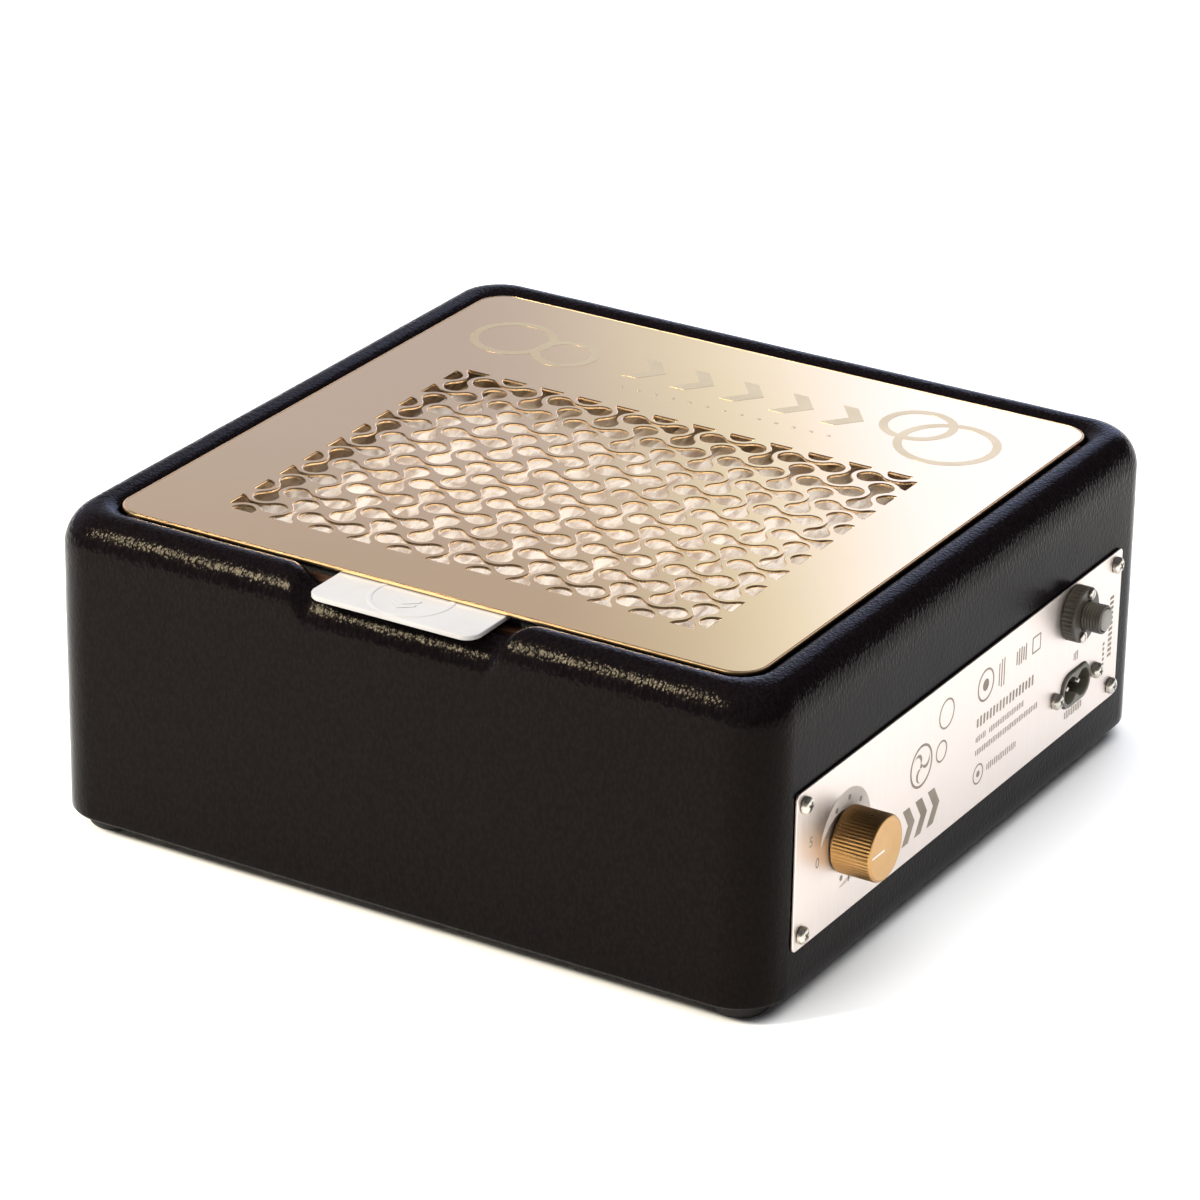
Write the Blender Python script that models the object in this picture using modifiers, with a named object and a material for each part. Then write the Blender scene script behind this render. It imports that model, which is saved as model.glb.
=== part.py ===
"""Table-top nail dust collector.

A padded box holds a pleated filter under a pierced plate. A centrifugal fan below the filter
draws the dust down and blows the air out at the back. The control panel is on the right side.
Lengths are in metres, +X is the right side, -Y the front with the filter's pull tab, +Z up.
"""

import math

import bmesh
import bpy
from mathutils import Vector

# Driving dimensions of the padded box.
BODY_WIDTH = 0.280
BODY_DEPTH = 0.277
BODY_BOTTOM = 0.006
RIM_TOP = 0.1176
CORNER_RADIUS = 0.018
GAP = 0.0003

# Insets from the front and back are this much larger than the insets from the sides.
DEPTH_INSET_RATIO = 1.076

# The pierced plate that lies in the top opening.
PLATE_MARGIN = 0.0158
PLATE_CORNER = 0.011
PLATE_TOP = 0.1167
PLATE_THICKNESS = 0.0010

# The rim's cross-section, as insets from the outer side face and heights.
RIM_CREST_INSET = 0.0095
RIM_ROUND_DROP = 0.0135
RIM_INNER_INSET = 0.0152
RIM_INNER_DROP = 0.0034
SKIN_THICKNESS = 0.0030
SKIN_TUCK_BOTTOM = 0.1080

# The finger notch in the front rim, under the pull tab.
# It opens wider towards the plate.
NOTCH_FLAT_HALF = 0.0345
NOTCH_OPEN_HALF = 0.0410
NOTCH_FLARE = 0.0090
NOTCH_DROP = 0.0060
TAB_CENTRE_X = 0.0007

# The stiff case inside the padding.
CASE_INSET = 0.0036
CASE_WALL = 0.0058
CASE_BOTTOM = 0.0103
LEDGE_TOP = 0.1105
LEDGE_INSET = 0.0240
LEDGE_UNDERSIDE = 0.1045
LEDGE_FOOT = 0.0960
GROOVE_INSET = 0.0156
GROOVE_FLOOR = 0.1076
POST_SIZE = 0.0150
POST_TOP = 0.0807
FOOT_INSET = 0.0165
WINDOW_BOTTOM = 0.0267
WINDOW_TOP = 0.0742

# Base plate and feet.
BASE_THICKNESS = 0.0040
FOOT_RADIUS = 0.0100
SCREW_M4 = 0.0020
SCREW_M3 = 0.0015
HOLE_SLACK = 0.0004

# Filter.
FLANGE_INSET = 0.0195
FLANGE_TOP = PLATE_TOP - PLATE_THICKNESS - GAP
FLANGE_THICKNESS = 0.0020
FRAME_INSET = 0.0250
FRAME_WALL = 0.0030
FRAME_BOTTOM = 0.0920
TAB_WIDTH = 0.0645
TAB_FRONT = 0.1417
TAB_CORNER = 0.0055
PLEAT_COUNT = 21
PLEAT_TOP = 0.1075
PLEAT_CLOTH = 0.0012

# Lattice of dog-bone holes in the plate.
LATTICE_COLUMNS = 12
LATTICE_ROWS = 10
PITCH_X = 0.01557
PITCH_Y = 0.01488
LATTICE_CENTRE_Y = -0.0247
BONE_LOBE_OFFSET = 0.53
BONE_LOBE_RADIUS = 0.285
BONE_WAIST = 0.050

# Fan.
DECK_BOTTOM = 0.0810
DECK_THICKNESS = 0.0030
DECK_HOLE = 0.0750
IMPELLER_RADIUS = 0.0950
IMPELLER_EYE = 0.0680
IMPELLER_BOTTOM = 0.0240
IMPELLER_TOP = 0.0660
IMPELLER_SHEET = 0.0020
ROTOR_RADIUS = 0.0460
STATOR_RADIUS = 0.0310
STATOR_FLANGE = 0.0420
SHAFT_RADIUS = 0.0040
BLADE_COUNT = 7

# Control panel on the right side.
PANEL_FRONT = -0.1197
PANEL_BACK = 0.1144
PANEL_BOTTOM = 0.0225
PANEL_TOP = 0.0790
PANEL_THICKNESS = 0.0008
PANEL_GAP = 0.0001
PANEL_CORNER = 0.002
PANEL_SCREW_INSET = 0.0050
WINDOW_FRONT = -0.100
WINDOW_BACK = 0.1015
KNOB_Y = -0.0864
KNOB_Z = 0.0503
KNOB_RADIUS = 0.0115
KNOB_REACH = 0.0150
BREAKER_Y = 0.0766
BREAKER_Z = 0.0683
BREAKER_REACH = 0.0133
INLET_Y = 0.0809
INLET_Z = 0.0386
INLET_SCREW_HALF = 0.0155
INLET_PIN_HALF = 0.0043

# Exhaust grille in the back wall.
EXHAUST_HALF_WIDTH = 0.088
EXHAUST_WINDOW_HALF = 0.080
EXHAUST_THICKNESS = 0.0020
EXHAUST_SLOTS = 15

HALF_WIDTH = BODY_WIDTH / 2
HALF_DEPTH = BODY_DEPTH / 2
PANEL_FACE = HALF_WIDTH + PANEL_GAP + PANEL_THICKNESS
PANEL_REAR = HALF_WIDTH + PANEL_GAP - GAP
BREAKER_END = PANEL_FACE + BREAKER_REACH
KNOB_FACE = PANEL_FACE + KNOB_REACH
EXHAUST_FACE = HALF_DEPTH + GAP + EXHAUST_THICKNESS

RIGHT = Vector((1, 0, 0))
UP = Vector((0, 0, 1))
DOWN = Vector((0, 0, -1))


# ---------------------------------------------------------------- scene helpers

def clear_scene():
    for item in list(bpy.data.objects):
        bpy.data.objects.remove(item, do_unlink=True)


def new_collection(name):
    collection = bpy.data.collections.new(name)
    bpy.context.scene.collection.children.link(collection)
    return collection


def new_material(name, colour, roughness, metallic=0.0):
    material = bpy.data.materials.new(name)
    material.use_nodes = True
    shader = material.node_tree.nodes["Principled BSDF"]
    shader.inputs["Base Color"].default_value = (*colour, 1.0)
    shader.inputs["Roughness"].default_value = roughness
    shader.inputs["Metallic"].default_value = metallic
    return material


clear_scene()
PARTS = new_collection("nail_dust_collector")
CUTTERS = new_collection("cutters")

LEATHERETTE = new_material("leatherette", (0.018, 0.015, 0.016), 0.45)
HARDBOARD = new_material("hardboard", (0.22, 0.14, 0.08), 0.8)
BLACK_PLASTIC = new_material("black_plastic", (0.015, 0.014, 0.013), 0.45)
RUBBER = new_material("rubber", (0.012, 0.012, 0.012), 0.8)
GOLD_MIRROR = new_material("gold_mirror", (0.83, 0.62, 0.40), 0.12, 1.0)
GOLD_ALUMINIUM = new_material("gold_aluminium", (0.72, 0.44, 0.15), 0.3, 1.0)
BRUSHED_STEEL = new_material("brushed_steel", (0.80, 0.76, 0.72), 0.32, 1.0)
ZINC_STEEL = new_material("zinc_steel", (0.66, 0.63, 0.58), 0.3, 1.0)
WHITE_PLASTIC = new_material("white_plastic", (0.80, 0.78, 0.74), 0.4)
FILTER_CLOTH = new_material("filter_cloth", (0.78, 0.72, 0.66), 0.9)
FOAM = new_material("foam", (0.05, 0.05, 0.05), 0.95)
GREY_PLASTIC = new_material("grey_plastic", (0.30, 0.28, 0.26), 0.5)
CAST_ALUMINIUM = new_material("cast_aluminium", (0.60, 0.60, 0.60), 0.45, 1.0)
BRASS = new_material("brass", (0.75, 0.56, 0.25), 0.3, 1.0)
WIRE_BLACK = new_material("wire_black", (0.02, 0.02, 0.02), 0.5)
WIRE_BLUE = new_material("wire_blue", (0.03, 0.10, 0.40), 0.5)

ROOT = bpy.data.objects.new("collector_root", None)
ROOT.location = ((HALF_WIDTH - KNOB_FACE) / 2, (TAB_FRONT - EXHAUST_FACE) / 2, 0)
PARTS.objects.link(ROOT)


def axis_rotation(axis):
    """Rotation that turns an object's own +Z onto the given axis."""
    return UP.rotation_difference(axis).to_euler()


def add_part(name, data, material, location=(0, 0, 0), axis=UP):
    """Put a named piece in the parts collection, with its own +Z along the axis."""
    part = bpy.data.objects.new(name, data)
    part.location = location
    part.rotation_euler = axis_rotation(axis)
    part.parent = ROOT
    if not data.materials:
        data.materials.append(material)
    PARTS.objects.link(part)
    return part


def mesh_from_bmesh(name, bm):
    bmesh.ops.recalc_face_normals(bm, faces=bm.faces)
    mesh = bpy.data.meshes.new(name)
    bm.to_mesh(mesh)
    bm.free()
    return mesh


def add_cutter(name, mesh, location, axis=UP):
    cutter = bpy.data.objects.new(name, mesh)
    cutter.location = location
    cutter.rotation_euler = axis_rotation(axis)
    cutter.parent = ROOT
    cutter.hide_render = True
    cutter.display_type = "WIRE"
    CUTTERS.objects.link(cutter)
    return cutter


def boolean(target, cutter, operation="DIFFERENCE"):
    modifier = target.modifiers.new(operation.lower(), "BOOLEAN")
    modifier.operation = operation
    modifier.solver = "EXACT"
    modifier.object = cutter


def box_mesh(name, low, high):
    """Mesh of an upright box between two corners."""
    bm = bmesh.new()
    bmesh.ops.create_cube(bm, size=1.0)
    low = Vector(low)
    high = Vector(high)
    size = high - low
    bmesh.ops.scale(bm, vec=size, verts=bm.verts)
    bmesh.ops.translate(bm, vec=(low + high) / 2, verts=bm.verts)
    return mesh_from_bmesh(name, bm)


def rod_mesh(name, radius, length, sides=12):
    """Mesh of a rod from its origin along its own +Z."""
    bm = bmesh.new()
    bmesh.ops.create_cone(bm, cap_ends=True, segments=sides, radius1=radius, radius2=radius,
                          depth=length)
    bmesh.ops.translate(bm, vec=(0, 0, length / 2), verts=bm.verts)
    return mesh_from_bmesh(name, bm)


def bore(targets, start, axis, radius, length, sides=12):
    """Cut a round hole from start along the axis through each target."""
    cutter = add_cutter("bore", rod_mesh("bore", radius, length, sides), start, axis)
    for target in targets:
        boolean(target, cutter)


def cut_box(targets, low, high):
    cutter = add_cutter("box_cutter", box_mesh("box_cutter", low, high), (0, 0, 0))
    for target in targets:
        boolean(target, cutter)


# ---------------------------------------------------------------- shape helpers

def arc_points(centre_x, centre_y, radius, start, end, steps):
    points = []
    for step in range(steps + 1):
        angle = math.radians(start + (end - start) * step / steps)
        points.append((centre_x + radius * math.cos(angle), centre_y + radius * math.sin(angle)))
    return points


def rounded_rectangle(half_x, half_y, radius, steps=4):
    """Plan outline, counter-clockwise from the front right corner."""
    points = []
    corners = ((1, -1, -90), (1, 1, 0), (-1, 1, 90), (-1, -1, 180))
    for side_x, side_y, start in corners:
        centre_x = side_x * (half_x - radius)
        centre_y = side_y * (half_y - radius)
        points += arc_points(centre_x, centre_y, radius, start, start + 90, steps)
    return points


def circle(centre_x, centre_y, radius, sides=12):
    return arc_points(centre_x, centre_y, radius, 0, 360, sides)[:-1]


def slot_outline(centre_x, centre_y, half_width, half_height, steps=3):
    """Upright slot with round ends."""
    straight = half_height - half_width
    top = arc_points(centre_x, centre_y + straight, half_width, 0, 180, steps)
    bottom = arc_points(centre_x, centre_y - straight, half_width, 180, 360, steps)
    return top + bottom


def flat_curve(name, outlines, thickness):
    """Filled 2D curve: the first outline is the edge, the others are holes."""
    curve = bpy.data.curves.new(name, "CURVE")
    curve.dimensions = "2D"
    curve.fill_mode = "BOTH"
    curve.extrude = thickness / 2
    for outline in outlines:
        spline = curve.splines.new("POLY")
        spline.points.add(len(outline) - 1)
        for point, (x, y) in zip(spline.points, outline):
            point.co = (x, y, 0, 1)
        spline.use_cyclic_u = True
    return curve


def mesh_from_curve(name, curve):
    """Turn a curve into a mesh with welded caps, so that it can be cut and joined."""
    holder = bpy.data.objects.new(name, curve)
    bpy.context.scene.collection.objects.link(holder)
    bpy.context.view_layer.update()
    evaluated = holder.evaluated_get(bpy.context.evaluated_depsgraph_get())
    mesh = bpy.data.meshes.new_from_object(evaluated)
    bpy.data.objects.remove(holder, do_unlink=True)
    bpy.data.curves.remove(curve)
    bm = bmesh.new()
    bm.from_mesh(mesh)
    bmesh.ops.remove_doubles(bm, verts=bm.verts, dist=1e-6)
    bm.to_mesh(mesh)
    bm.free()
    mesh.name = name
    return mesh


def extruded_mesh(name, outlines, thickness):
    return mesh_from_curve(name, flat_curve(name, outlines, thickness))


def turned(name, profile, material, location=(0, 0, 0), axis=UP, closed=True, steps=24):
    """Piece turned about its own Z from (radius, height) points that run down the outer side."""
    mesh = bpy.data.meshes.new(name)
    vertices = [(radius, 0, height) for radius, height in profile]
    edges = [(index, index + 1) for index in range(len(profile) - 1)]
    if closed:
        edges.append((len(profile) - 1, 0))
    mesh.from_pydata(vertices, edges, [])
    part = add_part(name, mesh, material, location, axis)
    screw = part.modifiers.new("turn", "SCREW")
    screw.axis = "Z"
    screw.steps = steps
    screw.render_steps = steps
    screw.use_merge_vertices = True
    screw.merge_threshold = 0.00001
    return part


def corner_radius(inset):
    """Corner radius of the plan outline, eased from the outer corner to the plate's corner.

    Inside the plate's edge the corners get tighter, down to the filter's small inner ones.
    """
    if inset <= PLATE_MARGIN:
        return CORNER_RADIUS + (PLATE_CORNER - CORNER_RADIUS) * inset / PLATE_MARGIN
    return max(PLATE_CORNER - 0.6 * (inset - PLATE_MARGIN), 0.002)


def plan_halves(inset):
    """Half width and half depth of the box at an inset from its side faces."""
    return HALF_WIDTH - inset, HALF_DEPTH - inset * DEPTH_INSET_RATIO


def plan_outline(inset, steps=4):
    return rounded_rectangle(*plan_halves(inset), corner_radius(inset), steps)


def notch_opening(inset):
    """Half the width of the notch's mouth on the line at an inset."""
    return NOTCH_OPEN_HALF + NOTCH_FLARE * min(inset / PLATE_MARGIN, 1.0)


def notch_stations(inset):
    """Extra stations along the front side, closer together where the notch's ends rise."""
    rise = notch_opening(inset) - NOTCH_FLAT_HALF
    half = [NOTCH_FLAT_HALF + rise * share for share in (1.0, 0.75, 0.5, 0.25, 0.0)]
    return [TAB_CENTRE_X - x for x in half] + [TAB_CENTRE_X + x for x in half[::-1]]


def notch_depth_share(x, inset):
    """1 in the flat of the notch, 0 outside it, and a smooth rise between them."""
    opening = notch_opening(inset)
    share = (opening - abs(x - TAB_CENTRE_X)) / (opening - NOTCH_FLAT_HALF)
    share = min(max(share, 0.0), 1.0)
    return share * share * (3 - 2 * share)


def rim_station(inset, with_notch):
    """Stations of one line round the rim, with the notch's own stations on the front side."""
    points = plan_outline(inset)
    if with_notch:
        front = -plan_halves(inset)[1]
        points += [(x, front) for x in notch_stations(inset)]
    return points


def swept_ring(name, profile, material, with_notch=False):
    """Ring swept round the plan outline.

    The profile is a closed list of (inset, height, lowered), where lowered points follow the
    notch down.
    """
    bm = bmesh.new()
    lines = []
    for inset, height, lowered in profile:
        line = []
        for x, y in rim_station(inset, with_notch):
            drop = 0.0
            if with_notch and lowered and y < 0:
                drop = notch_depth_share(x, inset) * NOTCH_DROP
            line.append(bm.verts.new((x, y, height - drop)))
        lines.append(line)
    for line, following in zip(lines, lines[1:] + lines[:1]):
        count = len(line)
        for index in range(count):
            after = (index + 1) % count
            bm.faces.new((line[index], line[after], following[after], following[index]))
    return add_part(name, mesh_from_bmesh(name, bm), material)


def rim_curve(offset):
    """The rim's outer surface moved inwards by offset, from the flat side to the inner edge."""
    points = []
    side = RIM_TOP - RIM_ROUND_DROP
    for angle in (180, 162, 144, 126, 108, 90):
        turn = math.radians(angle)
        inset = RIM_CREST_INSET + (RIM_CREST_INSET - offset) * math.cos(turn)
        points.append((inset, side + (RIM_ROUND_DROP - offset) * math.sin(turn), True))
    for angle in (60, 30, 0):
        turn = math.radians(angle)
        inset = RIM_CREST_INSET + (RIM_INNER_INSET - RIM_CREST_INSET - offset) * math.cos(turn)
        height = RIM_TOP - RIM_INNER_DROP + (RIM_INNER_DROP - offset) * math.sin(turn)
        points.append((inset, height, True))
    return points


# ---------------------------------------------------------------- fasteners

def screw_mesh(name, head_radius, head_height, shank_radius, shank_length, sides=10):
    """Pan-head screw with its origin where the head bears, and its head along +Z."""
    profile = [
        (head_radius * 0.55, head_height),
        (head_radius * 0.95, head_height * 0.6),
        (head_radius, 0.0),
        (shank_radius, 0.0),
        (shank_radius, -shank_length),
    ]
    bm = bmesh.new()
    rings = []
    for radius, height in profile:
        ring = [bm.verts.new((x, y, height)) for x, y in circle(0, 0, radius, sides)]
        rings.append(ring)
    for ring, following in zip(rings, rings[1:]):
        for index in range(sides):
            after = (index + 1) % sides
            bm.faces.new((ring[index], ring[after], following[after], following[index]))
    bm.faces.new(rings[0])
    bm.faces.new(rings[-1][::-1])
    return mesh_from_bmesh(name, bm)


def add_screws(name, places, axis, mesh, material):
    for number, place in enumerate(places, 1):
        add_part(f"{name}_{number}", mesh, material, place, axis)


def corner_places(inset, height):
    """The four corners, counter-clockwise from the front left."""
    x = HALF_WIDTH - inset
    y = HALF_DEPTH - inset
    return [(-x, -y, height), (x, -y, height), (x, y, height), (-x, y, height)]


# ---------------------------------------------------------------- casing

def build_upholstery():
    outer = [(0.0, BODY_BOTTOM, False)] + rim_curve(0.0)
    outer.append((RIM_INNER_INSET, SKIN_TUCK_BOTTOM, True))
    inner = [(SKIN_THICKNESS, BODY_BOTTOM, False)] + rim_curve(SKIN_THICKNESS)
    inner.append((RIM_INNER_INSET - SKIN_THICKNESS, SKIN_TUCK_BOTTOM, True))
    return swept_ring("upholstery", outer + inner[::-1], LEATHERETTE, with_notch=True)


def build_inner_case():
    wall = CASE_INSET + CASE_WALL
    tuck = RIM_INNER_INSET - SKIN_THICKNESS - GAP
    profile = [(CASE_INSET, CASE_BOTTOM, False)] + rim_curve(CASE_INSET)[:-3]
    profile += [
        (tuck, RIM_TOP - CASE_INSET, True),
        (tuck, GROOVE_FLOOR, True),
        (GROOVE_INSET, GROOVE_FLOOR, True),
        (GROOVE_INSET, LEDGE_TOP, False),
        (LEDGE_INSET, LEDGE_TOP, False),
        (LEDGE_INSET, LEDGE_UNDERSIDE, False),
        (wall, LEDGE_FOOT, False),
        (wall, CASE_BOTTOM, False),
    ]
    case = swept_ring("inner_case", profile, HARDBOARD, with_notch=True)
    add_corner_posts(case, wall)
    return case


def add_corner_posts(case, wall):
    """Posts in the corners take the foot screws from below and the deck screws from above."""
    half_x, half_y = plan_halves(wall - 0.0005)
    for side_x in (-1, 1):
        for side_y in (-1, 1):
            outer = (side_x * half_x, side_y * half_y)
            inner = (outer[0] - side_x * POST_SIZE, outer[1] - side_y * POST_SIZE)
            low = (min(outer[0], inner[0]), min(outer[1], inner[1]), CASE_BOTTOM)
            high = (max(outer[0], inner[0]), max(outer[1], inner[1]), POST_TOP)
            post = add_cutter("corner_post", box_mesh("corner_post", low, high), (0, 0, 0))
            boolean(case, post, "UNION")


def cut_windows(case, upholstery):
    """Openings behind the control panel and behind the exhaust grille, through both walls."""
    deep = 0.020
    cut_box((case, upholstery),
            (HALF_WIDTH - deep, WINDOW_FRONT, WINDOW_BOTTOM),
            (HALF_WIDTH + deep, WINDOW_BACK, WINDOW_TOP))
    cut_box((case, upholstery),
            (-EXHAUST_WINDOW_HALF, HALF_DEPTH - deep, WINDOW_BOTTOM),
            (EXHAUST_WINDOW_HALF, HALF_DEPTH + deep, WINDOW_TOP))


def build_base_plate():
    outlines = [plan_outline(CASE_INSET)]
    hole = SCREW_M4 + HOLE_SLACK
    for x, y, _ in corner_places(FOOT_INSET, 0) + motor_screw_places(0):
        outlines.append(circle(x, y, hole))
    height = BODY_BOTTOM + BASE_THICKNESS / 2
    add_part("base_plate", flat_curve("base_plate", outlines, BASE_THICKNESS), BLACK_PLASTIC,
             (0, 0, height))


def build_feet(case):
    recess_radius = 0.0052
    recess_depth = 0.0034
    head_height = 0.0024
    shank_length = 0.0240
    hole = SCREW_M4 + HOLE_SLACK
    top = BODY_BOTTOM - GAP
    profile = [
        (FOOT_RADIUS, top),
        (FOOT_RADIUS, 0.0020),
        (FOOT_RADIUS - 0.0012, 0.0),
        (recess_radius, 0.0),
        (recess_radius, recess_depth),
        (hole, recess_depth),
        (hole, top),
    ]
    for number, (x, y, _) in enumerate(corner_places(FOOT_INSET, 0), 1):
        turned(f"foot_{number}", profile, RUBBER, (x, y, 0), steps=16)
    bearing = recess_depth - GAP
    mesh = screw_mesh("foot_screw", 0.0040, head_height, SCREW_M4, shank_length)
    places = corner_places(FOOT_INSET, bearing)
    add_screws("foot_screw", places, DOWN, mesh, ZINC_STEEL)
    for x, y, _ in places:
        bore((case,), (x, y, 0), UP, hole, bearing + shank_length + 0.001)


# ---------------------------------------------------------------- filter and plate

def build_filter_frame():
    flange_bottom = FLANGE_TOP - FLANGE_THICKNESS
    inner_wall = FRAME_INSET + FRAME_WALL
    profile = [
        (FLANGE_INSET, FLANGE_TOP, False),
        (FLANGE_INSET, flange_bottom, False),
        (FRAME_INSET, flange_bottom, False),
        (FRAME_INSET, FRAME_BOTTOM, False),
        (inner_wall + 0.003, FRAME_BOTTOM, False),
        (inner_wall + 0.003, FRAME_BOTTOM + 0.0015, False),
        (inner_wall, FRAME_BOTTOM + 0.0015, False),
        (inner_wall, flange_bottom, False),
        (inner_wall + 0.004, flange_bottom, False),
        (inner_wall + 0.004, FLANGE_TOP, False),
    ]
    frame = swept_ring("filter_frame", profile, WHITE_PLASTIC)
    boolean(frame, pull_tab(), "UNION")


def pull_tab():
    """The tab that lies over the notch, a hair thinner than the flange it grows from."""
    left = TAB_CENTRE_X - TAB_WIDTH / 2
    right = TAB_CENTRE_X + TAB_WIDTH / 2
    inner_y = -plan_halves(FLANGE_INSET + 0.004)[1]
    corner_y = -TAB_FRONT + TAB_CORNER
    outline = [(right, inner_y), (left, inner_y)]
    outline += arc_points(left + TAB_CORNER, corner_y, TAB_CORNER, 180, 270, 4)
    outline += arc_points(right - TAB_CORNER, corner_y, TAB_CORNER, 270, 360, 4)
    hair = 0.0002
    mesh = extruded_mesh("pull_tab", [outline], FLANGE_THICKNESS - hair)
    return add_cutter("pull_tab", mesh, (0, 0, FLANGE_TOP - FLANGE_THICKNESS / 2))


def build_filter_media():
    """Pleated cloth: a zigzag strip whose folds run from front to back."""
    inset = FRAME_INSET + FRAME_WALL + 0.0014
    half_x, half_y = plan_halves(inset)
    low = FRAME_BOTTOM + 0.0018
    fold = half_x / PLEAT_COUNT
    upper = []
    for index in range(2 * PLEAT_COUNT + 1):
        height = PLEAT_TOP if index % 2 else low + 2 * PLEAT_CLOTH
        upper.append((-half_x + index * fold, height))
    lower = [(x, height - 2 * PLEAT_CLOTH) for x, height in upper]
    curve = flat_curve("filter_media", [upper[::-1] + lower], 2 * half_y)
    media = add_part("filter_media", curve, FILTER_CLOTH)
    media.rotation_euler = (math.radians(90), 0, 0)


def build_gasket():
    low = LEDGE_TOP + GAP
    high = FLANGE_TOP - FLANGE_THICKNESS - GAP
    outer = FLANGE_INSET + 0.0005
    inner = LEDGE_INSET - 0.0005
    profile = [(outer, high, False), (outer, low, False), (inner, low, False),
               (inner, high, False)]
    swept_ring("filter_gasket", profile, FOAM)


def bone_outline(upright):
    """Dog-bone hole in units of the pitch: two round lobes joined by a narrow waist."""
    outline = []
    for side in (1, -1):
        turn = 0 if side == 1 else 180
        lobe = arc_points(0, side * BONE_LOBE_OFFSET, BONE_LOBE_RADIUS, -28 + turn, 208 + turn, 3)
        outline += lobe
        outline.append((-side * BONE_WAIST, 0))
    if upright:
        return outline
    return [(-y, x) for x, y in outline]


def clip(outline, axis, limit, keep_below):
    """Cut a closed outline along a line of constant x (axis 0) or y (axis 1)."""
    sign = 1 if keep_below else -1
    result = []
    for point, after in zip(outline, outline[1:] + outline[:1]):
        inside = sign * (limit - point[axis]) >= 0
        inside_after = sign * (limit - after[axis]) >= 0
        if inside:
            result.append(point)
        if inside != inside_after:
            share = (limit - point[axis]) / (after[axis] - point[axis])
            result.append(tuple(a + (b - a) * share for a, b in zip(point, after)))
    return result


def outline_area(outline):
    total = 0.0
    for (x, y), (next_x, next_y) in zip(outline, outline[1:] + outline[:1]):
        total += x * next_y - next_x * y
    return abs(total) / 2


def lattice_holes():
    """Bones in a chequer pattern, alternately upright and lying, cut off at the lattice's edge."""
    smallest = 0.03
    holes = []
    for column in range(-1, LATTICE_COLUMNS + 1):
        for row in range(-1, LATTICE_ROWS + 1):
            centre_x = column + 0.5 - LATTICE_COLUMNS / 2
            centre_y = LATTICE_ROWS / 2 - row - 0.5
            bone = [(x + centre_x, y + centre_y) for x, y in bone_outline((column + row) % 2 == 0)]
            for axis, half in ((0, LATTICE_COLUMNS / 2), (1, LATTICE_ROWS / 2)):
                bone = clip(bone, axis, half, True)
                bone = clip(bone, axis, -half, False)
            if len(bone) > 2 and outline_area(bone) > smallest:
                holes.append([(x * PITCH_X, y * PITCH_Y + LATTICE_CENTRE_Y) for x, y in bone])
    return holes


def build_grille_plate():
    outlines = [plan_outline(PLATE_MARGIN)] + lattice_holes()
    curve = flat_curve("grille_plate", outlines, PLATE_THICKNESS)
    add_part("grille_plate", curve, GOLD_MIRROR, (0, 0, PLATE_TOP - PLATE_THICKNESS / 2))


# ---------------------------------------------------------------- fan

def build_fan_deck(case):
    hole = SCREW_M3 + HOLE_SLACK
    outlines = [plan_outline(CASE_INSET + CASE_WALL + GAP)]
    outlines.append(circle(0, 0, DECK_HOLE, 32))
    for x, y, _ in corner_places(FOOT_INSET, 0):
        outlines.append(circle(x, y, hole, 10))
    curve = flat_curve("fan_deck", outlines, DECK_THICKNESS)
    add_part("fan_deck", curve, BLACK_PLASTIC, (0, 0, DECK_BOTTOM + DECK_THICKNESS / 2))
    top = DECK_BOTTOM + DECK_THICKNESS + GAP
    shank = 0.0140
    mesh = screw_mesh("deck_screw", 0.0030, 0.0022, SCREW_M3, shank)
    places = corner_places(FOOT_INSET, top)
    add_screws("deck_screw", places, UP, mesh, ZINC_STEEL)
    for x, y, _ in places:
        bore((case,), (x, y, top + 0.001), DOWN, hole, shank + 0.002, 10)


def build_inlet_ring():
    """Bell mouth that leads the air from the deck's hole into the impeller's eye."""
    top = DECK_BOTTOM + DECK_THICKNESS + GAP
    throat = IMPELLER_EYE - 0.0040
    profile = [
        (0.0840, top + 0.0015),
        (0.0840, top),
        (0.0745, top),
        (0.0700, top - 0.0043),
        (0.0660, top - 0.0103),
        (throat, top - 0.0203),
        (throat - 0.0015, top - 0.0203),
        (throat + 0.0004, top - 0.0103),
        (0.0685, top - 0.0031),
        (0.0735, top + 0.0015),
    ]
    turned("inlet_ring", profile, BLACK_PLASTIC)


def motor_screw_places(height):
    radius = (STATOR_RADIUS + STATOR_FLANGE) / 2
    return [(x, y, height) for x, y in circle(0, 0, radius, 3)]


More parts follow.
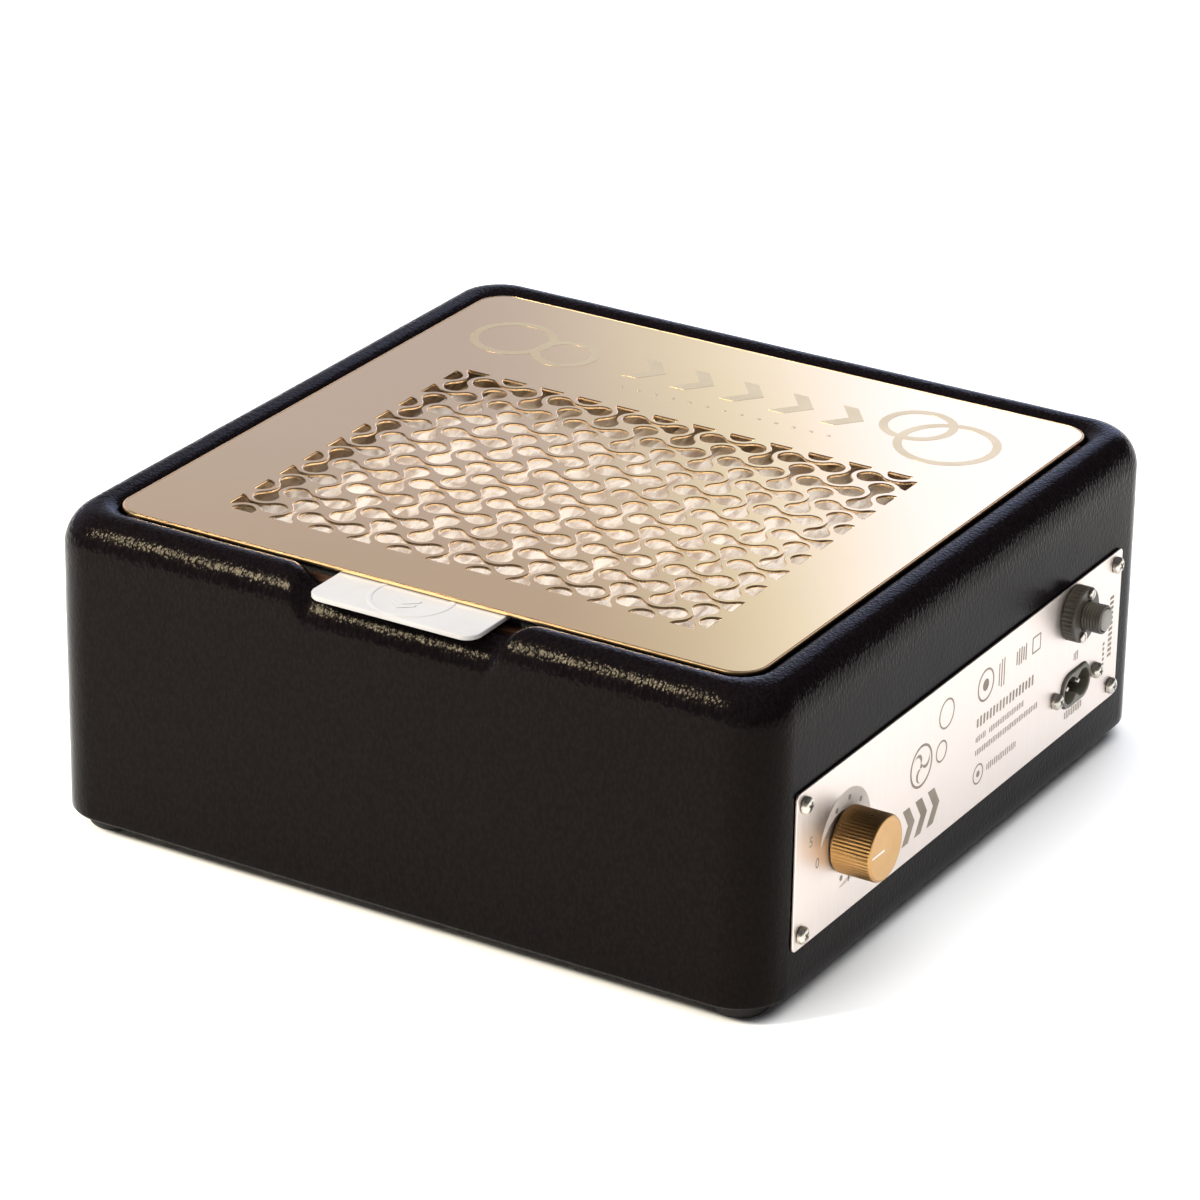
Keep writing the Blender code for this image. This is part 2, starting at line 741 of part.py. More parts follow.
def build_motor():
    floor = BODY_BOTTOM + BASE_THICKNESS + GAP
    flange_top = floor + 0.0050
    bearing_outer = 0.0110
    stator = turned("motor_stator", [
        (STATOR_RADIUS, 0.0500),
        (STATOR_RADIUS, flange_top),
        (STATOR_FLANGE, flange_top),
        (STATOR_FLANGE, floor),
        (bearing_outer + GAP, floor),
        (bearing_outer + GAP, 0.0500),
    ], CAST_ALUMINIUM)
    hole = SCREW_M4 + HOLE_SLACK
    head = BODY_BOTTOM - GAP
    shank = 0.0085
    for x, y, _ in motor_screw_places(0):
        bore((stator,), (x, y, 0), UP, hole, 0.020)
    mesh = screw_mesh("motor_screw", 0.0038, 0.0024, SCREW_M4, shank)
    add_screws("motor_screw", motor_screw_places(head), DOWN, mesh, ZINC_STEEL)
    for name, low in (("lower_bearing", 0.0170), ("upper_bearing", 0.0410)):
        high = low + 0.0070
        ring = [(bearing_outer, high), (bearing_outer, low), (SHAFT_RADIUS + GAP, low),
                (SHAFT_RADIUS + GAP, high)]
        turned(name, ring, ZINC_STEEL, steps=16)
    turned("motor_shaft", [(0, 0.0590), (SHAFT_RADIUS, 0.0590), (SHAFT_RADIUS, 0.0130),
                           (0, 0.0130)], ZINC_STEEL, closed=False, steps=16)
    hub = SHAFT_RADIUS + GAP
    turned("rotor_can", [
        (ROTOR_RADIUS, 0.0600),
        (ROTOR_RADIUS, 0.0200),
        (STATOR_RADIUS + 0.0025, 0.0200),
        (STATOR_RADIUS + 0.0025, 0.0540),
        (hub, 0.0540),
        (hub, 0.0600),
    ], CAST_ALUMINIUM)


def blade_outline(sweep=0.72, steps=4, half_thickness=0.0008):
    """Backward-curved blade in plan, from the eye to the rim of the impeller."""
    inner = IMPELLER_EYE - 0.001
    outer = IMPELLER_RADIUS - 0.001
    centre = []
    for step in range(steps + 1):
        share = step / steps
        radius = inner + (outer - inner) * share
        angle = -sweep * share
        centre.append(Vector((radius * math.cos(angle), radius * math.sin(angle))))
    left = []
    right = []
    for index, point in enumerate(centre):
        ahead = centre[min(index + 1, steps)]
        behind = centre[max(index - 1, 0)]
        along = (ahead - behind).normalized()
        side = Vector((-along.y, along.x)) * half_thickness
        left.append(tuple(point + side))
        right.append(tuple(point - side))
    return left + right[::-1]


def build_impeller():
    """Back disc, curved blades and a front ring, in one moulding."""
    bottom = IMPELLER_BOTTOM
    sheet = IMPELLER_SHEET
    inner = ROTOR_RADIUS + 0.0004
    wheel = turned("impeller", [
        (IMPELLER_RADIUS, bottom + sheet),
        (IMPELLER_RADIUS, bottom),
        (inner, bottom),
        (inner, bottom + sheet),
    ], BLACK_PLASTIC, steps=28)
    height = IMPELLER_TOP - bottom - sheet
    mesh = extruded_mesh("blade", [blade_outline()], height)
    middle = (IMPELLER_TOP + bottom) / 2
    for number in range(BLADE_COUNT):
        blade = add_cutter("blade", mesh, (0, 0, middle))
        blade.rotation_euler = (0, 0, 2 * math.pi * number / BLADE_COUNT)
        boolean(wheel, blade, "UNION")
    ring = extruded_mesh("front_ring", [circle(0, 0, IMPELLER_RADIUS, 28),
                                        circle(0, 0, IMPELLER_EYE, 28)], sheet)
    front_ring = add_cutter("front_ring", ring, (0, 0, IMPELLER_TOP - sheet / 2))
    boolean(wheel, front_ring, "UNION")


def build_exhaust_grille():
    """Moulded grille with upright slots, clipped over the opening in the back wall."""
    height = (PANEL_TOP - PANEL_BOTTOM) / 2
    outlines = [rounded_rectangle(EXHAUST_HALF_WIDTH, height, 0.004, 2)]
    spacing = 2 * EXHAUST_WINDOW_HALF / EXHAUST_SLOTS
    for index in range(EXHAUST_SLOTS):
        x = -EXHAUST_WINDOW_HALF + (index + 0.5) * spacing
        outlines.append(slot_outline(x, 0, 0.0019, 0.0190, 2))
    curve = flat_curve("exhaust_grille", outlines, EXHAUST_THICKNESS)
    middle = (PANEL_TOP + PANEL_BOTTOM) / 2
    grille = add_part("exhaust_grille", curve, BLACK_PLASTIC,
                      (0, HALF_DEPTH + GAP + EXHAUST_THICKNESS / 2, middle))
    grille.rotation_euler = (math.radians(90), 0, math.radians(180))


# ---------------------------------------------------------------- control panel

def face_right(part):
    """Turn a flat piece so that its own X, Y and Z run along the body's Y, Z and X."""
    part.rotation_euler = (math.radians(90), 0, math.radians(90))


def build_control_panel(case, upholstery):
    middle_y = (PANEL_FRONT + PANEL_BACK) / 2
    middle_z = (PANEL_TOP + PANEL_BOTTOM) / 2
    half_y = (PANEL_BACK - PANEL_FRONT) / 2
    half_z = (PANEL_TOP - PANEL_BOTTOM) / 2
    outlines = [rounded_rectangle(half_y, half_z, PANEL_CORNER, 2)]
    screw_y = half_y - PANEL_SCREW_INSET
    screw_z = half_z - PANEL_SCREW_INSET
    corners = [(-screw_y, -screw_z), (screw_y, -screw_z), (screw_y, screw_z), (-screw_y, screw_z)]
    hole = SCREW_M3 + HOLE_SLACK
    outlines += [circle(y, z, hole, 10) for y, z in corners]
    outlines.append(circle(KNOB_Y - middle_y, KNOB_Z - middle_z, 0.0039, 16))
    outlines.append(circle(BREAKER_Y - middle_y, BREAKER_Z - middle_z, 0.0056, 16))
    inlet_y = INLET_Y - middle_y
    inlet_z = INLET_Z - middle_z
    inlet = rounded_rectangle(0.0111, 0.0068, 0.0060, 4)
    outlines.append([(inlet_y + y, inlet_z + z) for y, z in inlet])
    for side in (-1, 1):
        outlines.append(circle(inlet_y + side * INLET_SCREW_HALF, inlet_z, hole, 10))
    curve = flat_curve("control_panel", outlines, PANEL_THICKNESS)
    panel = add_part("control_panel", curve, BRUSHED_STEEL,
                     (PANEL_FACE - PANEL_THICKNESS / 2, middle_y, middle_z))
    face_right(panel)
    shank = 0.0095
    mesh = screw_mesh("panel_screw", 0.0030, 0.0021, SCREW_M3, shank)
    places = [(PANEL_FACE + GAP, middle_y + y, middle_z + z) for y, z in corners]
    add_screws("panel_screw", places, RIGHT, mesh, ZINC_STEEL)
    for x, y, z in places:
        bore((case, upholstery), (x, y, z), -RIGHT, hole, 0.016, 10)


def build_speed_knob():
    face = KNOB_FACE
    back = PANEL_FACE + 0.0005
    cavity = 0.0068
    cavity_end = back + 0.0070
    bore_radius = 0.0033
    bore_end = face - 0.0020
    at = (0, KNOB_Y, KNOB_Z)
    knob = turned("knob", [
        (0, face),
        (KNOB_RADIUS - 0.0008, face),
        (KNOB_RADIUS, face - 0.0008),
        (KNOB_RADIUS, back + 0.0004),
        (KNOB_RADIUS - 0.0004, back),
        (cavity, back),
        (cavity, cavity_end),
        (bore_radius, cavity_end),
        (bore_radius, bore_end),
        (0, bore_end),
    ], GOLD_ALUMINIUM, at, RIGHT, closed=False, steps=24)
    grub_x = cavity_end + 0.0024
    bore((knob,), (grub_x, KNOB_Y, KNOB_Z - KNOB_RADIUS - 0.001), UP, 0.0018,
         KNOB_RADIUS - 0.0010)
    grub = rod_mesh("knob_set_screw", SCREW_M3, 0.0066, 10)
    add_part("knob_set_screw", grub, ZINC_STEEL, (grub_x, KNOB_Y, KNOB_Z - 0.0034), DOWN)
    add_part("pot_shaft", rod_mesh("pot_shaft", 0.0030, bore_end - 0.0006 - 0.1300), ZINC_STEEL,
             (0.1300, KNOB_Y, KNOB_Z), RIGHT)


def build_potentiometer():
    back = PANEL_REAR
    bushing_end = PANEL_FACE + 0.0058
    bushing = 0.0035
    through = 0.0033 - 0.0001
    turned("pot_body", [
        (bushing, bushing_end),
        (bushing, back),
        (0.0120, back),
        (0.0120, back - 0.0110),
        (through, back - 0.0110),
        (through, bushing_end),
    ], GREY_PLASTIC, (0, KNOB_Y, KNOB_Z), RIGHT, steps=20)
    nut = extruded_mesh("pot_nut", [circle(0, 0, 0.0058, 6), circle(0, 0, bushing + GAP, 12)],
                        0.0022)
    add_part("pot_nut", nut, BRASS, (PANEL_FACE + GAP + 0.0011, KNOB_Y, KNOB_Z), RIGHT)


def build_power_inlet():
    """Two-pin figure-8 inlet: a rim through the panel, ears behind it and a body at the back."""
    rim_front = PANEL_FACE + 0.0010
    ear_front = PANEL_REAR
    ear_back = ear_front - 0.0026
    body_back = ear_back - 0.0142
    body_half_y = 0.0098
    body_half_z = 0.0055
    rim = extruded_mesh("power_inlet", [rounded_rectangle(0.0107, 0.0064, 0.0056, 4)],
                        rim_front - ear_back)
    inlet = add_part("power_inlet", rim, BLACK_PLASTIC,
                     ((rim_front + ear_back) / 2, INLET_Y, INLET_Z))
    face_right(inlet)
    ears = extruded_mesh("inlet_ears", [rounded_rectangle(0.0190, 0.0060, 0.0040, 2)],
                         ear_front - ear_back)
    ears_part = add_cutter("inlet_ears", ears, ((ear_front + ear_back) / 2, INLET_Y, INLET_Z))
    face_right(ears_part)
    boolean(inlet, ears_part, "UNION")
    low = (body_back, INLET_Y - body_half_y, INLET_Z - body_half_z)
    high = (ear_back + 0.0005, INLET_Y + body_half_y, INLET_Z + body_half_z)
    boolean(inlet, add_cutter("inlet_body", box_mesh("inlet_body", low, high), (0, 0, 0)), "UNION")
    cavity_back = body_back + 0.0065
    depth = 0.0200
    cavity = extruded_mesh("inlet_cavity", [rounded_rectangle(0.0093, 0.0050, 0.0048, 4)], depth)
    hollow = add_cutter("inlet_cavity", cavity, (cavity_back + depth / 2, INLET_Y, INLET_Z))
    face_right(hollow)
    boolean(inlet, hollow)
    pin_radius = 0.0012
    pin_length = 0.0195
    pin_start = body_back - 0.0020
    places = []
    for number, side in ((1, -1), (2, 1)):
        y = INLET_Y + side * INLET_SCREW_HALF
        bore((inlet,), (rim_front, y, INLET_Z), -RIGHT, SCREW_M3 + HOLE_SLACK, 0.0100, 10)
        places.append((PANEL_FACE + GAP, y, INLET_Z))
        pin_y = INLET_Y + side * INLET_PIN_HALF
        bore((inlet,), (cavity_back + 0.001, pin_y, INLET_Z), -RIGHT, pin_radius + GAP, 0.0100, 10)
        add_part(f"inlet_pin_{number}", rod_mesh("inlet_pin", pin_radius, pin_length, 10),
                 ZINC_STEEL, (pin_start, pin_y, INLET_Z), RIGHT)
    mesh = screw_mesh("inlet_screw", 0.0029, 0.0026, SCREW_M3, 0.0090)
    add_screws("inlet_screw", places, RIGHT, mesh, ZINC_STEEL)


def build_breaker():
    """Push-to-reset breaker: a housing behind the panel, its neck through it and a collar."""
    neck_end = BREAKER_END - 0.0010
    neck_radius = 0.0052
    button_bore = 0.0042
    bore_back = PANEL_REAR - 0.0020
    half_y = 0.0170
    low = (PANEL_REAR - 0.0280, BREAKER_Y - half_y, BREAKER_Z - 0.0076)
    high = (PANEL_REAR, BREAKER_Y + half_y, BREAKER_Z + 0.0054)
    housing = add_part("breaker_housing", box_mesh("breaker_housing", low, high), BLACK_PLASTIC)
    neck_start = PANEL_REAR - 0.002
    neck = rod_mesh("breaker_neck", neck_radius, neck_end - neck_start, 16)
    neck_part = add_cutter("breaker_neck", neck, (neck_start, BREAKER_Y, BREAKER_Z), RIGHT)
    boolean(housing, neck_part, "UNION")
    bore((housing,), (BREAKER_END, BREAKER_Y, BREAKER_Z), -RIGHT, button_bore,
         BREAKER_END - bore_back, 16)
    collar_radius = 0.0100
    collar_back = PANEL_FACE + GAP
    collar_front = PANEL_FACE + 0.0052
    collar = turned("breaker_collar", [
        (collar_radius - 0.0006, collar_front),
        (collar_radius, collar_front - 0.0006),
        (collar_radius, collar_back),
        (neck_radius + GAP, collar_back),
        (neck_radius + GAP, collar_front),
    ], BLACK_PLASTIC, (0, BREAKER_Y, BREAKER_Z), RIGHT, steps=24)
    screw_circle = 0.0077
    shank = 0.0010
    mesh = screw_mesh("collar_screw", 0.0021, 0.0008, shank, 0.0035, 8)
    places = []
    for angle in (70, 250):
        turn = math.radians(angle)
        y = BREAKER_Y + screw_circle * math.cos(turn)
        z = BREAKER_Z + screw_circle * math.sin(turn)
        places.append((collar_front + GAP, y, z))
        bore((collar,), (collar_front + GAP, y, z), -RIGHT, shank + GAP, 0.0045, 8)
    add_screws("collar_screw", places, RIGHT, mesh, ZINC_STEEL)
    button_start = bore_back + 0.0080
    button = rod_mesh("breaker_button", button_bore - GAP, BREAKER_END - button_start, 16)
    add_part("breaker_button", button, GREY_PLASTIC, (button_start, BREAKER_Y, BREAKER_Z), RIGHT)
    build_breaker_spring(bore_back)


def wire_curve(name, points, radius, resolution=2):
    """Round wire through the points, with closed ends."""
    curve = bpy.data.curves.new(name, "CURVE")
    curve.dimensions = "3D"
    curve.bevel_depth = radius
    curve.bevel_resolution = resolution
    curve.use_fill_caps = True
    spline = curve.splines.new("POLY")
    spline.points.add(len(points) - 1)
    for point, place in zip(spline.points, points):
        point.co = (*place, 1)
    return curve


def build_breaker_spring(bore_back):
    turns = 4
    per_turn = 9
    length = 0.0050
    coil_radius = 0.0030
    wire = 0.0004
    points = []
    for index in range(turns * per_turn + 1):
        angle = 2 * math.pi * index / per_turn
        height = wire + GAP + length * index / (turns * per_turn)
        points.append((coil_radius * math.cos(angle), coil_radius * math.sin(angle), height))
    curve = wire_curve("breaker_spring", points, wire)
    add_part("breaker_spring", curve, ZINC_STEEL, (bore_back + GAP, BREAKER_Y, BREAKER_Z), RIGHT)


# ---------------------------------------------------------------- wiring

def smooth_route(stops, steps=4):
    """Points of a smooth curve through the stops (Catmull-Rom)."""
    stops = [Vector(stop) for stop in stops]
    padded = [2 * stops[0] - stops[1]] + stops + [2 * stops[-1] - stops[-2]]
    points = []
    for before, start, end, after in zip(padded, padded[1:], padded[2:], padded[3:]):
        for step in range(steps):
            t = step / steps
            point = 0.5 * (2 * start + (end - before) * t
                           + (2 * before - 5 * start + 4 * end - after) * t * t
                           + (3 * start - before - 3 * end + after) * t * t * t)
            points.append(tuple(point))
    points.append(tuple(stops[-1]))
    return points


def add_wire(name, stops, radius, material):
    add_part(name, wire_curve(name, smooth_route(stops), radius, 1), material)


def build_electronics():
    bm = bmesh.new()
    bmesh.ops.create_cube(bm, size=1.0)
    bmesh.ops.scale(bm, vec=(0.028, 0.060, 0.0277), verts=bm.verts)
    controller = add_part("speed_controller", mesh_from_bmesh("speed_controller", bm),
                          BLACK_PLASTIC, (0.1130, -0.0200, 0.02415))
    edge = controller.modifiers.new("edges", "BEVEL")
    edge.width = 0.0015
    edge.segments = 1
    turned("motor_capacitor", [(0, 0.0600), (0.0135, 0.0600), (0.0150, 0.0585), (0.0150, 0.0103),
                               (0, 0.0103)], WHITE_PLASTIC, (-0.088, 0.088, 0), closed=False,
           steps=16)
    thin = 0.0011
    cable = 0.0022
    pin_back = 0.1205
    add_wire("live_wire", [
        (pin_back, INLET_Y + INLET_PIN_HALF, INLET_Z),
        (0.1120, 0.0852, 0.0386),
        (0.1040, 0.0830, 0.0460),
        (0.1030, 0.0800, 0.0580),
        (0.1055, 0.0775, 0.0645),
        (0.1110, 0.0770, 0.0655),
    ], thin, WIRE_BLACK)
    add_wire("switched_wire", [
        (0.1110, 0.0690, 0.0655),
        (0.1055, 0.0660, 0.0650),
        (0.1040, 0.0500, 0.0600),
        (0.1080, 0.0200, 0.0500),
        (0.1120, 0.0060, 0.0440),
        (0.1130, 0.0030, 0.0394),
    ], thin, WIRE_BLACK)
    add_wire("neutral_wire", [
        (pin_back, INLET_Y - INLET_PIN_HALF, INLET_Z),
        (0.1120, 0.0760, 0.0386),
        (0.1080, 0.0655, 0.0390),
        (0.1130, 0.0350, 0.0440),
        (0.1195, 0.0110, 0.0435),
        (0.1205, 0.0030, 0.0394),
    ], thin, WIRE_BLUE)
    add_wire("speed_lead", [
        (0.1280, KNOB_Y, 0.0460),
        (0.1220, -0.0800, 0.0420),
        (0.1150, -0.0660, 0.0340),
        (0.1130, -0.0570, 0.0280),
        (0.1130, -0.0512, 0.0260),
    ], thin, WIRE_BLACK)
    add_wire("motor_cable", [
        (0.0983, -0.0200, 0.0135),
        (0.0850, -0.0190, 0.0135),
        (0.0600, -0.0080, 0.0135),
        (0.0500, -0.0020, 0.0135),
        (0.0428, 0.0000, 0.0135),
    ], cable, WIRE_BLACK)


# ---------------------------------------------------------------- assembly

def build_collector():
    upholstery = build_upholstery()
    case = build_inner_case()
    cut_windows(case, upholstery)
    build_base_plate()
    build_feet(case)
    build_grille_plate()
    build_filter_frame()
    build_filter_media()
    build_gasket()
    build_fan_deck(case)
    build_inlet_ring()
    build_motor()
    build_impeller()
    build_exhaust_grille()
    build_control_panel(case, upholstery)
    build_speed_knob()
    build_potentiometer()
    build_power_inlet()
    build_breaker()
    build_electronics()


build_collector()
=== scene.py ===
"""Looks of the table-top nail dust collector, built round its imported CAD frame.

Lengths are in metres in the frame's own axes: +X is the right side with the control panel,
-Y the front with the filter's pull tab, +Z up. Pieces are modelled about the middle of the
padded box on the ground and placed by BODY.
"""

import math

import bmesh
import bpy
from mathutils import Matrix, Vector, noise


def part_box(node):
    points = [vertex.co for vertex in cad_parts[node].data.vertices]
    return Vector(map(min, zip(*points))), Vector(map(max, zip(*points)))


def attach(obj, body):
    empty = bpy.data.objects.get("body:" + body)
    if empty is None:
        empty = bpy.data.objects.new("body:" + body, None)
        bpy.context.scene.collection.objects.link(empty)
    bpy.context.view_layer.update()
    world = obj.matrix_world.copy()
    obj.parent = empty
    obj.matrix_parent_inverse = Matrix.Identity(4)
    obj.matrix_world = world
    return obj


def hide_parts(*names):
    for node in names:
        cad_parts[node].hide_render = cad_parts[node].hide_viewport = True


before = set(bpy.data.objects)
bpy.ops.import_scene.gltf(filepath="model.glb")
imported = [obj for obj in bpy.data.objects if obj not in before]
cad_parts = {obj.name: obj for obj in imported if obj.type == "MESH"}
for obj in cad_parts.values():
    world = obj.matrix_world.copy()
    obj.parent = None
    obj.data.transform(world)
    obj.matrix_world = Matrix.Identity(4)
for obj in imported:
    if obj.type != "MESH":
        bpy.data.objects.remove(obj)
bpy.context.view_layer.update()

# The padded box, read from the frame.
SKIN_LOW, SKIN_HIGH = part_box("upholstery")
HALF_WIDTH = (SKIN_HIGH.x - SKIN_LOW.x) / 2
HALF_DEPTH = (SKIN_HIGH.y - SKIN_LOW.y) / 2
BODY_BOTTOM = SKIN_LOW.z
RIM_TOP = SKIN_HIGH.z
MIDDLE = Vector(((SKIN_HIGH.x + SKIN_LOW.x) / 2, (SKIN_HIGH.y + SKIN_LOW.y) / 2, 0))
BODY = Matrix.Translation(MIDDLE)

# The rim's cross-section, as insets from the outer side face and heights below the crest.
CORNER_RADIUS = 0.018
PLATE_MARGIN = 0.0158
PLATE_CORNER = 0.011
RIM_CREST_INSET = 0.0095
RIM_ROUND_DROP = 0.0135
RIM_INNER_INSET = 0.0152
RIM_INNER_DROP = 0.0034
# Insets from the front and back are this much larger than the insets from the sides.
DEPTH_INSET_RATIO = 1.076
SKIN_THICKNESS = 0.0030
SKIN_TUCK_MIDDLE = 0.1115
SKIN_TUCK_BOTTOM = 0.1080
SKIN_SPACING = 0.004
HEM_RADIUS = 0.0016

# The finger notch in the front rim, which opens wider towards the plate, and the tab over it.
NOTCH_FLAT_HALF = 0.0345
NOTCH_OPEN_HALF = 0.0410
NOTCH_FLARE = 0.0090
NOTCH_DROP = 0.0060
NOTCH_BASE = 0.085
TAB_CENTRE_X = 0.0007
TAB_WIDTH = 0.0645

# Windows behind the control panel and the exhaust grille.
WINDOW_BOTTOM = 0.0267
WINDOW_TOP = 0.0742
PANEL_WINDOW = (-0.100, 0.1015)
EXHAUST_WINDOW_HALF = 0.080

# Lattice of dog-bone holes, its pitch along X and Y.
LATTICE_COLUMNS = 12
LATTICE_ROWS = 10
PITCH_X = 0.01557
PITCH_Y = 0.01488
LATTICE_CENTRE_Y = -0.0247

# Turns a piece's own X, Y and Z onto the body's Y, Z and X, for what stands on the right side.
FACE_RIGHT = Matrix(((0, 0, 1, 0), (1, 0, 0, 0), (0, 1, 0, 0), (0, 0, 0, 1)))
# Turns a piece's own X, Y and Z onto the body's -X, Z and Y, for what stands on the back.
FACE_BACK = Matrix(((-1, 0, 0, 0), (0, 0, 1, 0), (0, 1, 0, 0), (0, 0, 0, 1)))


# ---------------------------------------------------------------- scene and node helpers

def in_scene(name, data):
    """Object for the data, linked into the scene."""
    made = bpy.data.objects.new(name, data)
    bpy.context.scene.collection.objects.link(made)
    return made


class Nodes:
    """Node tree of a world or material; values are constants or other nodes' outputs."""

    def __init__(self, owner):
        owner.use_nodes = True
        self.tree = owner.node_tree

    def node(self, kind, values=None, **settings):
        """New node with its settings, and values for its inputs by name or number."""
        made = self.tree.nodes.new(kind)
        for setting, value in settings.items():
            setattr(made, setting, value)
        for socket, value in (values or {}).items():
            if isinstance(value, bpy.types.NodeSocket):
                self.tree.links.new(value, made.inputs[socket])
            else:
                made.inputs[socket].default_value = value
        return made

    def combined(self, operation, *values):
        """The values put through a mathematical operation."""
        made = self.node("ShaderNodeMath", dict(enumerate(values)), operation=operation)
        return made.outputs[0]

    def product(self, first, *others):
        """All values multiplied together."""
        for other in others:
            first = self.combined("MULTIPLY", first, other)
        return first

    def add(self, first, second, weight):
        """first plus second times weight."""
        return self.combined("MULTIPLY_ADD", second, weight, first)

    def ranged(self, value, low, high, start=0.3, end=0.7):
        """The value between start and end stretched to low and high."""
        made = self.node("ShaderNodeMapRange",
                         {"Value": value, "From Min": start, "From Max": end,
                          "To Min": low, "To Max": high})
        return made.outputs["Result"]

    def step(self, value, start, end):
        """0 before start, 1 beyond end, and a soft edge between them."""
        made = self.node("ShaderNodeMapRange",
                         {"Value": value, "From Min": start, "From Max": end},
                         interpolation_type="SMOOTHSTEP")
        return made.outputs["Result"]

    def mixed(self, share, first, second):
        """Colour from first to second by the share."""
        values = {"Factor": share}
        for socket, colour in (("A", first), ("B", second)):
            values[socket] = (*colour, 1) if isinstance(colour, tuple) else colour
        return self.node("ShaderNodeMix", values, data_type="RGBA").outputs["Result"]


# ---------------------------------------------------------------- camera, light and floor

CAMERA_AZIMUTH = 30.73
CAMERA_ELEVATION = 24.25
CAMERA_ROLL = 0.95
CAMERA_DISTANCE = 1.852
CAMERA_LENS = 157.97
CAMERA_TARGET = Vector((-0.02255, 0.0181, 0.0569))


def direction(azimuth, elevation):
    """Unit vector towards a place seen from the object: azimuth 0 is the front, 90 the right."""
    turn = math.radians(azimuth)
    rise = math.radians(elevation)
    return Vector((math.sin(turn) * math.cos(rise), -math.cos(turn) * math.cos(rise),
                   math.sin(rise)))


def build_camera():
    """Camera above the front right corner, rolled slightly about its own axis."""
    data = bpy.data.cameras.new("camera")
    data.sensor_width = 36.0
    data.lens = CAMERA_LENS
    data.clip_end = 100.0
    camera = in_scene("camera", data)
    back = direction(CAMERA_AZIMUTH, CAMERA_ELEVATION)
    right = Vector((0, 0, 1)).cross(back).normalized()
    up = back.cross(right)
    turn = math.radians(CAMERA_ROLL)
    rolled_right = right * math.cos(turn) + up * math.sin(turn)
    rolled_up = up * math.cos(turn) - right * math.sin(turn)
    axes = Matrix((rolled_right, rolled_up, back)).transposed().to_4x4()
    camera.matrix_world = Matrix.Translation(CAMERA_TARGET + back * CAMERA_DISTANCE) @ axes
    bpy.context.scene.camera = camera


def add_softbox(name, azimuth, elevation, distance, size, watts, colour):
    """Square area light that faces the object."""
    data = bpy.data.lights.new(name, "AREA")
    data.shape = "SQUARE"
    data.size = size
    data.energy = watts
    data.color = colour
    light = in_scene(name, data)
    towards = direction(azimuth, elevation)
    light.location = MIDDLE + Vector((0, 0, 0.06)) + towards * distance
    light.rotation_mode = "QUATERNION"
    light.rotation_quaternion = towards.to_track_quat("Z", "Y")


def build_lights():
    """Key from the front left and an even glow from overhead.

    Only the key shows in the surfaces: the world has its own softbox for the mirror finish.
    """
    add_softbox("key_light", -35.5, 36.0, 1.6, 0.30, 38.0, (1.0, 0.93, 0.78))
    overhead = bpy.data.lights.new("overhead", "SUN")
    overhead.energy = 4.3
    overhead.angle = math.radians(80)
    in_scene("overhead", overhead).visible_glossy = False


def build_world():
    """Dim studio with a softbox behind the object and a pale wall to the left of it.

    Turns are degrees to the left of straight behind; heights are sines of the elevation.
    """
    world = bpy.data.worlds.new("studio")
    bpy.context.scene.world = world
    sky = Nodes(world)
    generated = sky.node("ShaderNodeTexCoord").outputs["Generated"]
    parts = sky.node("ShaderNodeSeparateXYZ", {"Vector": generated})
    height = parts.outputs["Z"]
    to_left = sky.combined("MULTIPLY", parts.outputs["X"], -1.0)
    left_turn = sky.combined("ARCTAN2", to_left, parts.outputs["Y"])
    left_turn = sky.combined("MULTIPLY", left_turn, 180 / math.pi)
    wall = sky.product(sky.step(left_turn, 26.0, 31.0), sky.step(left_turn, 120.0, 90.0),
                       sky.step(height, 0.75, 0.45))
    # The softbox's left edge leans, so its turn changes with height.
    lean = sky.combined("MULTIPLY", sky.combined("SUBTRACT", height, 0.398), 15.0)
    edge_turn = sky.combined("ADD", left_turn, lean)
    panel = sky.product(sky.step(edge_turn, 31.9, 26.2), sky.step(left_turn, 2.0, 12.0),
                        sky.step(height, 0.85, 0.6))
    wall_colour = sky.mixed(sky.step(height, 0.38, 0.41), (0.56, 0.59, 0.76),
                            (0.52, 0.515, 0.58))
    studio = sky.mixed(wall, (0.10, 0.10, 0.105), wall_colour)
    panel_colour = sky.mixed(sky.step(edge_turn, 29.5, 26.5), (1.32, 1.50, 1.55),
                             (1.32, 1.52, 2.30))
    studio = sky.mixed(panel, studio, panel_colour)
    sky.tree.links.new(studio, sky.tree.nodes["Background"].inputs["Color"])


def build_floor():
    """Wide pale floor, outside the object itself."""
    size = 12.0
    bm = bmesh.new()
    bmesh.ops.create_grid(bm, x_segments=1, y_segments=1, size=size / 2)
    floor = in_scene("floor", finished_mesh(bm))
    finish = Finish("pale_floor", 0.9, Base_Color=(0.95, 0.95, 0.95, 1), Specular_IOR_Level=0.0)
    floor.data.materials.append(finish.material)


# ---------------------------------------------------------------- materials

